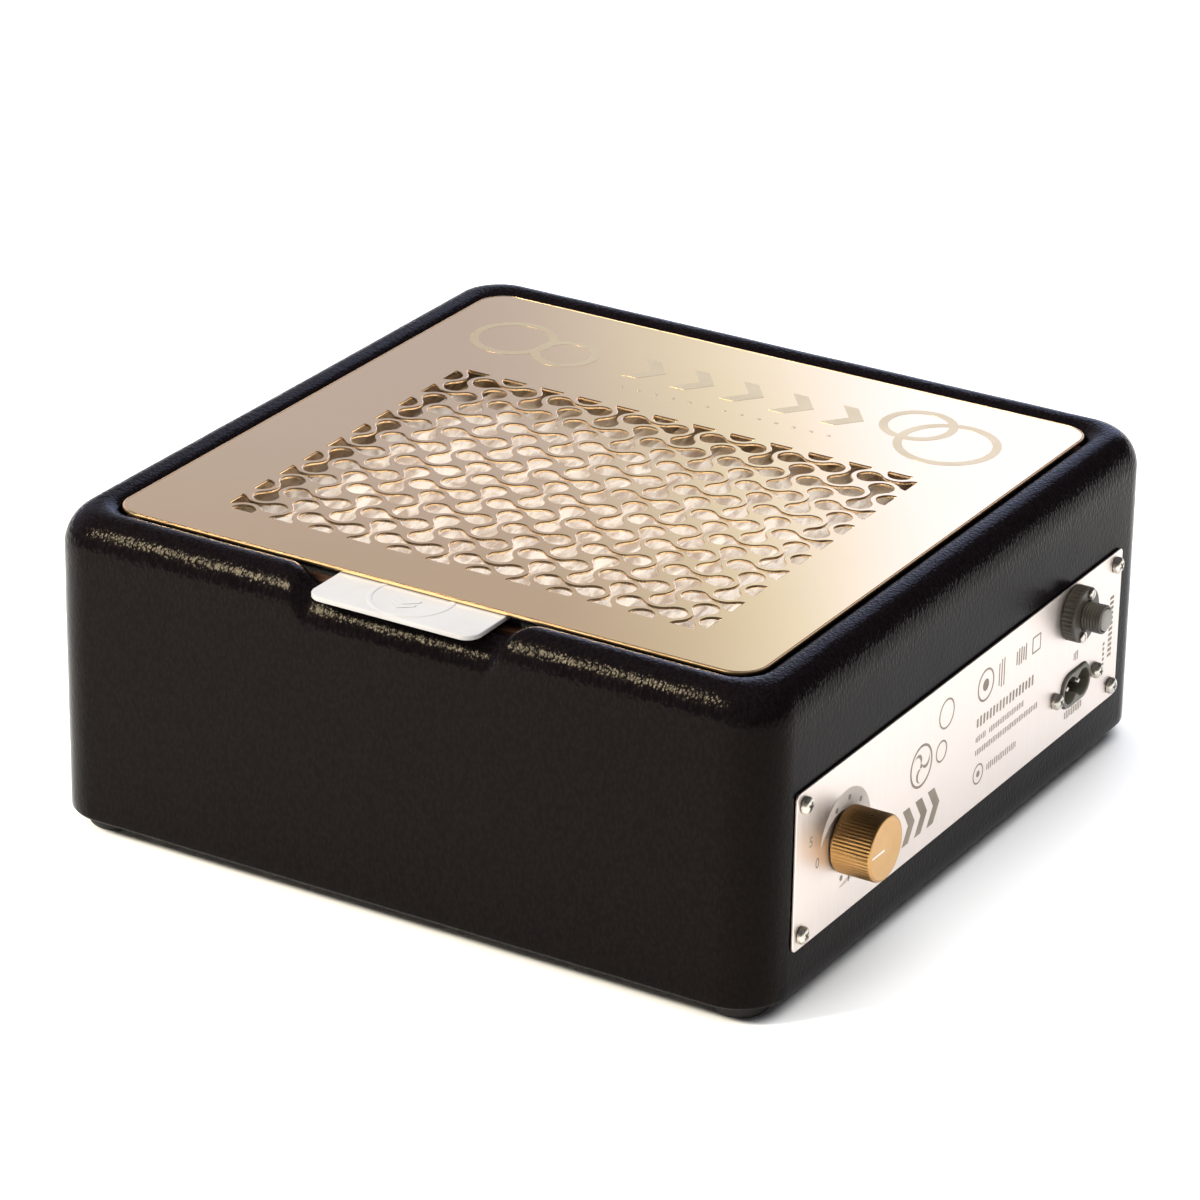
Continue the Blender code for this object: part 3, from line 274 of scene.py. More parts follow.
class Finish(Nodes):
    """A material built up from a Principled shader."""

    def __init__(self, name, roughness, metallic=0.0, **constants):
        self.material = bpy.data.materials.new(name)
        super().__init__(self.material)
        self.shader = self.tree.nodes["Principled BSDF"]
        constants.update(Metallic=metallic, Roughness=roughness)
        for socket, value in constants.items():
            self.shader.inputs[socket.replace("_", " ")].default_value = value
        self.coordinates = self.node("ShaderNodeTexCoord").outputs["Object"]

    def stretched(self, scale):
        """Object coordinates scaled along each axis."""
        mapping = self.node("ShaderNodeMapping", {"Vector": self.coordinates, "Scale": scale})
        return mapping.outputs["Vector"]

    def noise(self, scale, detail=3.0, vector=None, distortion=0.0):
        """Cloudy pattern in the object's coordinates or others."""
        made = self.node("ShaderNodeTexNoise",
                         {"Vector": vector or self.coordinates, "Scale": scale,
                          "Detail": detail, "Distortion": distortion})
        return made.outputs["Fac"]

    def colour(self, share, first, second):
        """Base colour from first to second by the share."""
        self.tree.links.new(self.mixed(share, first, second), self.shader.inputs["Base Color"])

    def roughness(self, value, low, high):
        """Roughness from low to high by the value."""
        self.tree.links.new(self.ranged(value, low, high), self.shader.inputs["Roughness"])

    def bump(self, height, distance, strength=1.0):
        """Relief by the height."""
        made = self.node("ShaderNodeBump", {"Height": height, "Distance": distance,
                                            "Strength": strength})
        self.tree.links.new(made.outputs["Normal"], self.shader.inputs["Normal"])


def leatherette():
    """Black coated cloth with a pebble grain, longer upwards than across and deepest at the rim."""
    finish = Finish("leatherette", 0.24, Specular_IOR_Level=0.045,
                    Specular_Tint=(1.0, 0.87, 0.64, 1.0))
    wander = finish.node("ShaderNodeTexNoise", {"Vector": finish.coordinates, "Scale": 420.0,
                                                "Detail": 2.0})
    shifted = finish.node("ShaderNodeMix", {"Factor": 0.0010, "A": finish.coordinates,
                                            "B": wander.outputs["Color"]}, data_type="VECTOR")
    grain_axes = finish.node("ShaderNodeMapping", {"Vector": shifted.outputs["Result"],
                                                   "Scale": (1.0, 1.0, 0.55)})
    cells = finish.node("ShaderNodeTexVoronoi",
                        {"Vector": grain_axes.outputs["Vector"], "Scale": 880.0,
                         "Smoothness": 0.35}, feature="SMOOTH_F1")
    pebbles = finish.ranged(cells.outputs["Distance"], 1.0, 0.0, 0.0, 0.75)
    fine = finish.noise(4200.0, 2.0)
    height = finish.node("ShaderNodeSeparateXYZ", {"Vector": finish.coordinates}).outputs["Z"]
    depth_share = finish.ranged(height, 0.4, 1.0, 0.095, 0.107)
    finish.bump(finish.add(pebbles, fine, 0.06), 0.00011, depth_share)
    finish.colour(pebbles, (0.0026, 0.0018, 0.0023), (0.0054, 0.0038, 0.0046))
    finish.roughness(finish.noise(60.0, 4.0), 0.17, 0.23)
    return finish.material


def speckled(name, dark, light, rough, bump_height=0.00001, grain=3000.0, mottle=60.0,
             metallic=0.0, **constants):
    """Moulded or cast surface: fine grain in its relief, broad mottling in colour and gloss."""
    finish = Finish(name, (rough[0] + rough[1]) / 2, metallic, **constants)
    broad = finish.noise(mottle, 4.0)
    finish.colour(finish.ranged(broad, 0.0, 1.0), dark, light)
    finish.roughness(finish.noise(mottle * 2.3, 3.0), *rough)
    finish.bump(finish.noise(grain, 3.0), bump_height)
    return finish.material


def streaked(name, dark, light, rough, stretch, bump_height=0.000004, **constants):
    """Brushed metal: streaks drawn out along one axis by the stretch of the coordinates."""
    finish = Finish(name, (rough[0] + rough[1]) / 2, 1.0, **constants)
    streaks = finish.noise(1.0, 5.0, vector=finish.stretched(stretch))
    finish.colour(finish.ranged(streaks, 0.0, 1.0), dark, light)
    finish.roughness(streaks, *rough)
    finish.bump(streaks, bump_height)
    return finish.material


def turned_metal(name, dark, light, rough, rings=5200.0):
    """Metal faced on a lathe: fine rings about the piece's own Z axis."""
    finish = Finish(name, (rough[0] + rough[1]) / 2, 1.0)
    parts = finish.node("ShaderNodeSeparateXYZ", {"Vector": finish.coordinates})
    flat = finish.node("ShaderNodeCombineXYZ", {"X": parts.outputs["X"], "Y": parts.outputs["Y"]})
    length = finish.node("ShaderNodeVectorMath", {0: flat.outputs[0]}, operation="LENGTH")
    line = finish.node("ShaderNodeCombineXYZ", {"X": length.outputs["Value"]})
    grooves = finish.noise(rings, 2.0, vector=line.outputs[0])
    broad = finish.noise(90.0, 3.0)
    finish.colour(finish.ranged(broad, 0.0, 1.0), dark, light)
    finish.roughness(grooves, *rough)
    finish.bump(grooves, 0.000006)
    return finish.material


def fibrous(name, dark, light, rough, fibre=(900.0, 260.0, 900.0), bump_height=0.00006):
    """Felted or pressed fibres, drawn out along Y."""
    finish = Finish(name, rough)
    fibres = finish.noise(1.0, 5.0, vector=finish.stretched(fibre), distortion=0.6)
    patches = finish.noise(70.0, 4.0)
    finish.colour(finish.ranged(finish.add(fibres, patches, 0.6), 0.0, 1.0, 0.55, 1.05),
                  dark, light)
    finish.bump(fibres, bump_height)
    return finish.material


def creased_cloth_with_painted_streaks():
    """Soft white felt with small creases along the folds, and painted light and shade streaks on
    them.
    """
    finish = Finish("filter_cloth", 0.75, Specular_IOR_Level=0.3)
    creases = finish.noise(1.0, 3.0, vector=finish.stretched((230.0, 75.0, 230.0)),
                           distortion=0.6)
    fibres = finish.noise(2200.0, 4.0)
    creases_and_painted_streaks = finish.add(creases, fibres, 0.20)
    # Painted light and shade: the colour runs from a shaded tan to near white with the crease
    # pattern, standing in for lit crests and shaded folds.
    finish.colour(finish.ranged(creases_and_painted_streaks, 0.0, 1.0, 0.46, 0.68), (0.58, 0.50, 0.44),
                  (1.0, 0.98, 0.95))
    finish.bump(creases_and_painted_streaks, 0.0009)
    return finish.material


def porous(name, dark, light, rough, cell=1400.0, bump_height=0.0002):
    """Open-cell foam."""
    finish = Finish(name, rough)
    cells = finish.node("ShaderNodeTexVoronoi", {"Vector": finish.coordinates, "Scale": cell})
    finish.colour(finish.ranged(cells.outputs["Distance"], 0.0, 1.0, 0.1, 0.7), light, dark)
    finish.bump(cells.outputs["Distance"], bump_height)
    return finish.material


MATERIALS = {
    "leatherette": leatherette(),
    "hardboard": fibrous("hardboard", (0.040, 0.014, 0.006), (0.08, 0.030, 0.014), 0.85,
                         (500.0, 500.0, 500.0)),
    "black_plastic": speckled("black_plastic", (0.030, 0.025, 0.018), (0.060, 0.050, 0.036),
                              (0.38, 0.52)),
    "rubber": speckled("rubber", (0.010, 0.010, 0.010), (0.022, 0.021, 0.020), (0.7, 0.9),
                       0.00003, 2200.0),
    "gold_mirror": speckled("gold_mirror", (0.90, 0.645, 0.37), (0.92, 0.665, 0.39),
                            (0.05, 0.085), 0.0000006, 900.0, 14.0, 1.0),
    "gold_aluminium": speckled("gold_aluminium", (0.40, 0.225, 0.08), (0.44, 0.255, 0.10),
                               (0.26, 0.36), 0.000003, 5000.0, 120.0, 1.0),
    "brushed_steel": streaked("brushed_steel", (0.755, 0.68, 0.63), (0.81, 0.735, 0.69),
                              (0.38, 0.50), (2600.0, 22.0, 2600.0)),
    "zinc_steel": speckled("zinc_steel", (0.52, 0.48, 0.42), (0.72, 0.68, 0.61), (0.22, 0.42),
                           0.00001, 2400.0, 500.0, 1.0),
    "white_plastic": speckled("white_plastic", (0.33, 0.322, 0.32), (0.36, 0.352, 0.35),
                              (0.34, 0.5), 0.000006, 2600.0),
    "filter_cloth": creased_cloth_with_painted_streaks(),
    "foam": porous("foam", (0.012, 0.012, 0.012), (0.05, 0.05, 0.05), 0.95),
    "grey_plastic": speckled("grey_plastic", (0.24, 0.22, 0.20), (0.32, 0.30, 0.27),
                             (0.40, 0.55)),
    "cast_aluminium": speckled("cast_aluminium", (0.48, 0.48, 0.48), (0.66, 0.66, 0.65),
                               (0.36, 0.55), 0.00005, 1500.0, 80.0, 1.0),
    "brass": speckled("brass", (0.68, 0.48, 0.20), (0.80, 0.60, 0.28), (0.24, 0.38), 0.00001,
                      2400.0, 300.0, 1.0),
    "wire_black": speckled("wire_black", (0.014, 0.014, 0.014), (0.026, 0.026, 0.026),
                           (0.42, 0.58)),
    "wire_blue": speckled("wire_blue", (0.02, 0.07, 0.32), (0.035, 0.10, 0.42), (0.42, 0.58)),
}
ETCHED_GOLD = speckled("etched_gold", (0.84, 0.625, 0.31), (0.88, 0.66, 0.335), (0.30, 0.36),
                       0.00001, 3500.0, 40.0, 1.0)
CUT_GOLD = speckled("cut_gold", (0.95, 0.62, 0.30), (0.98, 0.68, 0.36), (0.30, 0.40), 0.000004,
                    3500.0, 200.0, 1.0)
SOCKET_PLASTIC = speckled("socket_plastic", (0.085, 0.078, 0.058), (0.13, 0.12, 0.09),
                          (0.3, 0.45))
KNOB_FACE = turned_metal("knob_face", (0.52, 0.305, 0.118), (0.56, 0.34, 0.145), (0.24, 0.40))
PANEL_INK = speckled("panel_ink", (0.20, 0.165, 0.12), (0.30, 0.25, 0.19), (0.5, 0.65))
DIAL_INK = speckled("dial_ink", (0.58, 0.51, 0.46), (0.66, 0.59, 0.53), (0.5, 0.65))
WHITE_INK = speckled("white_ink", (0.80, 0.79, 0.76), (0.88, 0.87, 0.85), (0.5, 0.65))


def dress_cad_nodes():
    """Each CAD node wears the finish of its own material slot."""
    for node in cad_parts.values():
        slot = node.data.materials[0].name.split(".")[0]
        node.data.materials[0] = MATERIALS[slot]


# ---------------------------------------------------------------- shape helpers

# Edges sharper than this stay crisp on flat pieces, so that broad faces stay flat.
FLAT_EDGE_ANGLE = 20


def arc_points(centre_x, centre_y, radius, start, end, steps, radius_y=None):
    """Points along an arc, or along an ellipse's when its other radius is given; in degrees."""
    other_radius = radius if radius_y is None else radius_y
    points = []
    for step in range(steps + 1):
        angle = math.radians(start + (end - start) * step / steps)
        points.append((centre_x + radius * math.cos(angle),
                       centre_y + other_radius * math.sin(angle)))
    return points


def circle(centre_x, centre_y, radius, sides=48):
    """Closed outline of a circle."""
    return arc_points(centre_x, centre_y, radius, 0, 360, sides)[:-1]


def rounded_rectangle(half_x, half_y, radius, centre=(0, 0), steps=8):
    """Closed outline of a rectangle with round corners."""
    points = []
    for side_x, side_y, start in ((1, -1, -90), (1, 1, 0), (-1, 1, 90), (-1, -1, 180)):
        points += arc_points(centre[0] + side_x * (half_x - radius),
                             centre[1] + side_y * (half_y - radius),
                             radius, start, start + 90, steps)
    return points


def polish(mesh, sharp_angle=35):
    """Smooth shading, with edges above the angle kept sharp."""
    mesh.shade_smooth()
    mesh.set_sharp_from_angle(angle=math.radians(sharp_angle))
    return mesh


def evaluated_mesh(holder):
    """Mesh of an object with its modifiers applied; the object is removed."""
    bpy.context.view_layer.update()
    evaluated = holder.evaluated_get(bpy.context.evaluated_depsgraph_get())
    mesh = bpy.data.meshes.new_from_object(evaluated)
    bpy.data.objects.remove(holder, do_unlink=True)
    return mesh


def finished_mesh(bm):
    """Mesh made from a bmesh, which is freed."""
    mesh = bpy.data.meshes.new("shape")
    bm.to_mesh(mesh)
    bm.free()
    return mesh


def thickened(mesh, thickness, offset):
    """Sheet given a thickness: to both sides for an offset of 0, inwards for -1."""
    holder = in_scene("holder", mesh)
    solid = holder.modifiers.new("thickness", "SOLIDIFY")
    solid.thickness = thickness
    solid.offset = offset
    return evaluated_mesh(holder)


def flat_mesh(outlines, thickness, edge=0.0, base=0.0):
    """Flat piece standing on z = base: the first outline is its rim, the others are holes."""
    curve = bpy.data.curves.new("outline", "CURVE")
    curve.dimensions = "2D"
    curve.fill_mode = "BOTH"
    curve.extrude = thickness / 2 - edge
    curve.bevel_depth = edge
    curve.bevel_resolution = 1
    curve.offset = -edge
    for outline in outlines:
        spline = curve.splines.new("POLY")
        spline.points.add(len(outline) - 1)
        for point, (x, y) in zip(spline.points, outline):
            point.co = (x, y, 0, 1)
        spline.use_cyclic_u = True
    bm = bmesh.new()
    bm.from_mesh(evaluated_mesh(in_scene("holder", curve)))
    bmesh.ops.remove_doubles(bm, verts=bm.verts, dist=1e-7)
    bmesh.ops.translate(bm, vec=(0, 0, base + thickness / 2), verts=bm.verts)
    return polish(finished_mesh(bm), FLAT_EDGE_ANGLE)


def joined(meshes):
    """Several meshes as one."""
    bm = bmesh.new()
    for mesh in meshes:
        bm.from_mesh(mesh)
    return polish(finished_mesh(bm), FLAT_EDGE_ANGLE)


def loft(rings, closed=False, capped=False, keep=None):
    """Mesh through cyclic rings with equal numbers of points.

    A ring of one point is a pole. keep(ring, index) says whether a face is made there.
    """
    bm = bmesh.new()
    lines = [[bm.verts.new(point) for point in ring] for ring in rings]
    pairs = list(zip(lines, lines[1:]))
    if closed:
        pairs.append((lines[-1], lines[0]))
    for number, (line, following) in enumerate(pairs):
        count = max(len(line), len(following))
        for index in range(count):
            after = (index + 1) % count
            if keep and not keep(number, index):
                continue
            if len(line) == 1:
                corners = (line[0], following[after], following[index])
            elif len(following) == 1:
                corners = (line[index], line[after], following[0])
            else:
                corners = (line[index], line[after], following[after], following[index])
            bm.faces.new(corners)
    if capped:
        bm.faces.new(lines[0])
        bm.faces.new(lines[-1])
    loose = [vertex for vertex in bm.verts if not vertex.link_faces]
    bmesh.ops.delete(bm, geom=loose, context="VERTS")
    bmesh.ops.recalc_face_normals(bm, faces=bm.faces)
    return polish(finished_mesh(bm))


def lathe(profile, steps=64, closed=True, wave=None):
    """Piece turned about Z from (radius, height) points; wave changes the radius by angle."""
    rings = []
    for radius, height in profile:
        if radius == 0:
            rings.append([(0, 0, height)])
            continue
        ring = []
        for step in range(steps):
            angle = 2 * math.pi * step / steps
            reach = wave(angle, radius, height) if wave else radius
            ring.append((reach * math.cos(angle), reach * math.sin(angle), height))
        rings.append(ring)
    return loft(rings, closed=closed)


def add_piece(name, mesh, slot, body, place=BODY, replaces=(), finish=None):
    """Visible piece in a material slot, with the slot's own finish unless another is given."""
    mesh.materials.clear()
    mesh.materials.append(finish or MATERIALS[slot])
    piece = in_scene(name, mesh)
    piece.matrix_world = place
    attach(piece, body)
    if replaces:
        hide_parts(*replaces)
    return piece


def measured(node):
    """Lowest and highest corner of a CAD node's box, its middle and its half sizes."""
    low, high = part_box(node)
    return low, high, (low + high) / 2, (high - low) / 2


def subdivided(stops, spacing):
    """Values from the first stop to the last, through every stop, no further apart than spacing."""
    values = [stops[0]]
    for start, end in zip(stops, stops[1:]):
        pieces = max(1, math.ceil((end - start) / spacing - 1e-6))
        values += [start + (end - start) * step / pieces for step in range(1, pieces + 1)]
    return values


# ---------------------------------------------------------------- upholstery

def corner_radius(inset):
    """Corner radius of the plan outline, from the outer corner down to the plate's corner."""
    if inset <= PLATE_MARGIN:
        return CORNER_RADIUS + (PLATE_CORNER - CORNER_RADIUS) * inset / PLATE_MARGIN
    return max(PLATE_CORNER - 0.6 * (inset - PLATE_MARGIN), 0.002)


def plan_halves(inset):
    """Half width and half depth of the body at an inset from its side faces."""
    return HALF_WIDTH - inset, HALF_DEPTH - inset * DEPTH_INSET_RATIO


def side_stations():
    """Stations along the straight part of each side, shared by every line of the sweep."""
    corner_room = 0.030
    notch_room = 0.003
    notch_steps = 18
    reach_x = HALF_WIDTH - corner_room
    reach_y = HALF_DEPTH - corner_room
    notch_end = NOTCH_OPEN_HALF + NOTCH_FLARE + notch_room
    notch_start = NOTCH_FLAT_HALF - notch_room
    notch = [notch_start + (notch_end - notch_start) * step / notch_steps
             for step in range(notch_steps + 1)]
    sides = (
        [-reach_x] + [-x for x in notch[::-1]] + notch + [reach_x],
        [-reach_y, *PANEL_WINDOW, reach_y],
        [-reach_x, -EXHAUST_WINDOW_HALF, EXHAUST_WINDOW_HALF, reach_x],
        [-reach_y, reach_y],
    )
    front, right, back, left = (subdivided(side, SKIN_SPACING) for side in sides)
    return front, right, back[::-1], left[::-1]


def plan_line(inset, stations):
    """Points round the body at one inset, counter-clockwise from the front left corner."""
    half_x, half_y = plan_halves(inset)
    radius = corner_radius(inset)
    front, right, back, left = stations
    corner_x = half_x - radius
    corner_y = half_y - radius

    def corner(side_x, side_y, start):
        return arc_points(side_x * corner_x, side_y * corner_y, radius, start, start + 90, 14)

    return ([(x, -half_y) for x in front] + corner(1, -1, -90)
            + [(half_x, y) for y in right] + corner(1, 1, 0)
            + [(x, half_y) for x in back] + corner(-1, 1, 90)
            + [(-half_x, y) for y in left] + corner(-1, -1, 180))


def notch_depth_share(x, inset):
    """1 in the flat of the notch, 0 outside it, and a smooth rise between them."""
    opening = NOTCH_OPEN_HALF + NOTCH_FLARE * min(inset / PLATE_MARGIN, 1.0)
    share = (opening - abs(x - TAB_CENTRE_X)) / (opening - NOTCH_FLAT_HALF)
    share = min(max(share, 0.0), 1.0)
    return share * share * (3 - 2 * share)


def notch_drop(x, inset, height):
    """How far the skin is lowered: the whole rim alike, and the wall less and less below it."""
    wall_share = (height - NOTCH_BASE) / (RIM_TOP - RIM_ROUND_DROP - NOTCH_BASE)
    return notch_depth_share(x, inset) * NOTCH_DROP * min(max(wall_share, 0.0), 1.0)


def rim_profile():
    """Outer skin from the hem up the wall, over the rim and down to the plate: (inset, height)."""
    wall_top = RIM_TOP - RIM_ROUND_DROP
    hem_top = BODY_BOTTOM + HEM_RADIUS
    points = arc_points(HEM_RADIUS, hem_top, HEM_RADIUS, -90, -180, 4)
    wall = subdivided([hem_top, WINDOW_BOTTOM, WINDOW_TOP, wall_top], SKIN_SPACING)
    points += [(0.0, height) for height in wall[1:]]
    points += arc_points(RIM_CREST_INSET, wall_top, RIM_CREST_INSET, 175, 90, 17, RIM_ROUND_DROP)
    points += arc_points(RIM_CREST_INSET, RIM_TOP - RIM_INNER_DROP,
                         RIM_INNER_INSET - RIM_CREST_INSET, 80, 0, 8, RIM_INNER_DROP)
    points += [(RIM_INNER_INSET, SKIN_TUCK_MIDDLE), (RIM_INNER_INSET, SKIN_TUCK_BOTTOM)]
    return points


def in_window(first, second):
    """Whether the face between two opposite corners lies in one of the windows."""
    x = (first[0] + second[0]) / 2
    y = (first[1] + second[1]) / 2
    z = (first[2] + second[2]) / 2
    if not WINDOW_BOTTOM < z < WINDOW_TOP:
        return False
    behind_panel = x > HALF_WIDTH - 0.001 and PANEL_WINDOW[0] < y < PANEL_WINDOW[1]
    behind_exhaust = y > HALF_DEPTH - 0.001 and abs(x) < EXHAUST_WINDOW_HALF
    return behind_panel or behind_exhaust


def build_upholstery():
    """Padded skin: one smooth sheet over the box, lowered in the notch, with its real thickness."""
    stations = side_stations()
    rings = []
    for inset, height in rim_profile():
        ring = []
        for x, y in plan_line(inset, stations):
            drop = notch_drop(x, inset, height) if y < 0 else 0.0
            ring.append((x, y, height - drop))
        rings.append(ring)
    count = len(rings[0])

    def keep(number, index):
        return not in_window(rings[number][index], rings[number + 1][(index + 1) % count])

    mesh = loft(rings, keep=keep)
    # Gentle unevenness of the padding, as the deepest hollow.
    lump = 0.00028
    normals = [vertex.normal.copy() for vertex in mesh.vertices]
    for vertex, normal in zip(mesh.vertices, normals):
        place = vertex.co
        share = 0.5 + 0.4 * noise.noise(place * 22) + 0.25 * noise.noise(place * 60)
        vertex.co = place - normal * lump * min(max(share, 0.0), 1.0)
    padded = polish(thickened(mesh, SKIN_THICKNESS - lump, -1), 50)
    skin = add_piece("padded_skin", padded, "leatherette", "casing", replaces=("upholstery",))


# ---------------------------------------------------------------- filter and plate

def build_filter_frame():
    """Moulded tray with a flange round its top, an inner lip under it and one at its foot."""
    low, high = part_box("filter_frame")
    flange_thickness = 0.0020
    flange_inset = 0.0195
    wall_inset = 0.0250
    inner_wall = wall_inset + 0.0030
    foot_lip = inner_wall + 0.0030
    foot_top = low.z + 0.0015
    lip = inner_wall + 0.0040
    top = high.z
    under = top - flange_thickness
    soft = 0.0003
    profile = [(flange_inset + soft, top), (flange_inset, top - soft), (flange_inset, under),
               (wall_inset, under), (wall_inset, low.z), (foot_lip, low.z), (foot_lip, foot_top),
               (inner_wall, foot_top), (inner_wall, under), (lip, under), (lip, top - soft),
               (lip - soft, top)]
    rings = []
    for inset, height in profile:
        outline = rounded_rectangle(*plan_halves(inset), corner_radius(inset))
        rings.append([(x, y, height) for x, y in outline])
    add_piece("filter_rim", loft(rings, closed=True), "white_plastic", "filter",
              replaces=("filter_frame",))
    build_pull_tab(low.y - MIDDLE.y, under, flange_thickness - 0.0002)


def build_pull_tab(front, under, thickness):
    """The tab over the notch, with a raised ring and two arrows that point outwards."""
    left = TAB_CENTRE_X - TAB_WIDTH / 2
    right = TAB_CENTRE_X + TAB_WIDTH / 2
    corner = 0.0055
    base = under + 0.0001
    back = -plan_halves(0.0235)[1]
    outline = [(right, back), (left, back)]
    outline += arc_points(left + corner, front + corner, corner, 180, 270, 10)
    outline += arc_points(right - corner, front + corner, corner, 270, 360, 10)
    tab = flat_mesh([outline], thickness, edge=0.0004, base=base)
    add_piece("pull_tab", tab, "white_plastic", "filter", replaces=("filter_frame",))
    ring_radius = 0.0140
    ring_half = 0.0010
    relief = 0.00026
    buried = -0.0002
    ring = [(ring_radius - ring_half, buried)]
    ring += arc_points(ring_radius, 0, ring_half, 180, 0, 12, relief)
    ring.append((ring_radius + ring_half, buried))
    place = BODY @ Matrix.Translation((TAB_CENTRE_X - 0.0010, front + 0.0158, base + thickness))
    add_piece("tab_ring", lathe(ring, 96), "white_plastic", "filter", place)
    reach = 0.0045
    rise = reach * 0.8
    stroke = 0.0014
    arrow = [(-reach, 0.0), (0.0, -rise), (reach, 0.0), (reach, stroke), (0.0, stroke - rise),
             (-reach, stroke)]
    marks = [flat_mesh([[(x, y - drop) for x, y in arrow]], 0.0003, edge=0.0001,
                       base=-0.00008) for drop in (0.0022, 0.0056)]
    add_piece("tab_arrows", joined(marks), "white_plastic", "filter", place)


def build_filter_media():
    """Pleated cloth: folds run from front to back, with round crests and slightly uneven lines."""
    low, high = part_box("filter_media")
    low -= MIDDLE
    high -= MIDDLE
    pleats = 21
    per_pleat = 14
    rows = 64
    cloth = 0.0005
    roundness = 0.96
    sway_reach = 0.0011
    sag_reach = 0.0007
    middle = (low.z + high.z) / 2
    swing = (high.z - low.z) / 2 - cloth - 0.0006
    pitch = (high.x - low.x) / pleats
    bm = bmesh.new()
    grid = []
    for row in range(rows + 1):
        y = low.y + (high.y - low.y) * row / rows
        line = []
        for column in range(pleats * per_pleat + 1):
            x = low.x + pitch * column / per_pleat
            phase = 2 * math.pi * column / per_pleat - math.pi / 2
            rise = math.asin(roundness * math.sin(phase)) / math.asin(roundness)
            edge_share = max(min(1.0, (x - low.x) / pitch, (high.x - x) / pitch), 0.0)
            sway = sway_reach * noise.noise(Vector((x * 45, y * 16, 3.0))) * edge_share
            sag = sag_reach * noise.noise(Vector((x * 80, y * 12, 9.0)))
            line.append(bm.verts.new((x + sway, y, middle + rise * swing + sag)))
        grid.append(line)
    for line, following in zip(grid, grid[1:]):
        for index in range(len(line) - 1):
            bm.faces.new((line[index], line[index + 1], following[index + 1], following[index]))
    mesh = finished_mesh(bm)
    mesh.shade_smooth()
    pleated = polish(thickened(mesh, cloth, 0), 60)
    add_piece("pleated_cloth", pleated, "filter_cloth", "filter", replaces=("filter_media",))


def bone_outline(upright):
    """Dog-bone hole in units of the pitch: two round lobes and a waist between two arcs.

    The waist's arcs run round the neighbouring bones' lobes, one band's width away from them.
    """
    lobe_offset = 0.533
    lobe_radius = 0.2855
    band = 0.138
    waist_offset = 1 - lobe_offset
    waist_radius = lobe_radius + band
    turn = math.degrees(math.atan2(waist_offset, lobe_offset))
    outline = arc_points(lobe_offset, 0, lobe_radius, turn - 180, 180 - turn, 16)
    outline += arc_points(0, waist_offset, waist_radius, -turn, turn - 180, 7)[1:-1]
    outline += arc_points(-lobe_offset, 0, lobe_radius, turn, 360 - turn, 16)
    outline += arc_points(0, -waist_offset, waist_radius, 180 - turn, turn, 7)[1:-1]
    if upright:
        return [(-y, x) for x, y in outline]
    return outline


def clip(outline, axis, limit, keep_below):
    """Cut a closed outline along a line of constant x (axis 0) or y (axis 1)."""
    sign = 1 if keep_below else -1
    result = []
    for point, after in zip(outline, outline[1:] + outline[:1]):
        inside = sign * (limit - point[axis]) >= 0
        inside_after = sign * (limit - after[axis]) >= 0
        if inside:
            result.append(point)
        if inside != inside_after:
            share = (limit - point[axis]) / (after[axis] - point[axis])
            result.append(tuple(a + (b - a) * share for a, b in zip(point, after)))
    return result


def outline_area(outline):
    """Area inside a closed outline."""
    total = 0.0
    for (x, y), (next_x, next_y) in zip(outline, outline[1:] + outline[:1]):
        total += x * next_y - next_x * y
    return abs(total) / 2


def lattice_holes():
    """Bones in a chequer pattern, alternately upright and lying, cut off at the lattice's edge."""
    smallest = 0.03
    holes = []
    for column in range(-1, LATTICE_COLUMNS + 1):
        for row in range(-1, LATTICE_ROWS + 1):
            centre_x = column + 0.5 - LATTICE_COLUMNS / 2
            centre_y = LATTICE_ROWS / 2 - row - 0.5
            upright = (column + row) % 2 == 0
            bone = [(x + centre_x, y + centre_y) for x, y in bone_outline(upright)]
            for axis, half in ((0, LATTICE_COLUMNS / 2), (1, LATTICE_ROWS / 2)):
                bone = clip(bone, axis, half, True)
                bone = clip(bone, axis, -half, False)
            if len(bone) > 2 and outline_area(bone) > smallest:
                holes.append([(x * PITCH_X, y * PITCH_Y + LATTICE_CENTRE_Y) for x, y in bone])
    return holes


def build_grille_plate():
    """Pierced mirror plate inside a narrow ring that is its own duller cut edge."""
    low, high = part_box("grille_plate")
    thickness = high.z - low.z
    edge_width = 0.0006
    outer, inner = (rounded_rectangle(*plan_halves(PLATE_MARGIN + inset), PLATE_CORNER - inset,
                                      steps=14) for inset in (0.0, edge_width))
    plate = flat_mesh([inner] + lattice_holes(), thickness, edge=0.0003, base=low.z)
    cut_edge = flat_mesh([outer, inner], thickness, edge=0.00028, base=low.z)
    for name, mesh, finish in (("pierced_plate", plate, None), ("plate_edge", cut_edge, CUT_GOLD)):
        add_piece(name, mesh, "gold_mirror", "grille", replaces=("grille_plate",), finish=finish)
    build_plate_ornament(high.z)


def ring_outlines(x, y, radius, stroke):
    """Outer and inner circle of a flat ring."""
    return [circle(x, y, radius, 72), circle(x, y, radius - stroke, 72)]


def chevron(left, right, low, high, stroke):
    """Arrowhead that points right, between two ends and two heights."""
    middle = (low + high) / 2
    tip = right - stroke
    return [[(left, high), (tip, middle), (left, low), (left + stroke, low), (right, middle),
             (left + stroke, high)]]


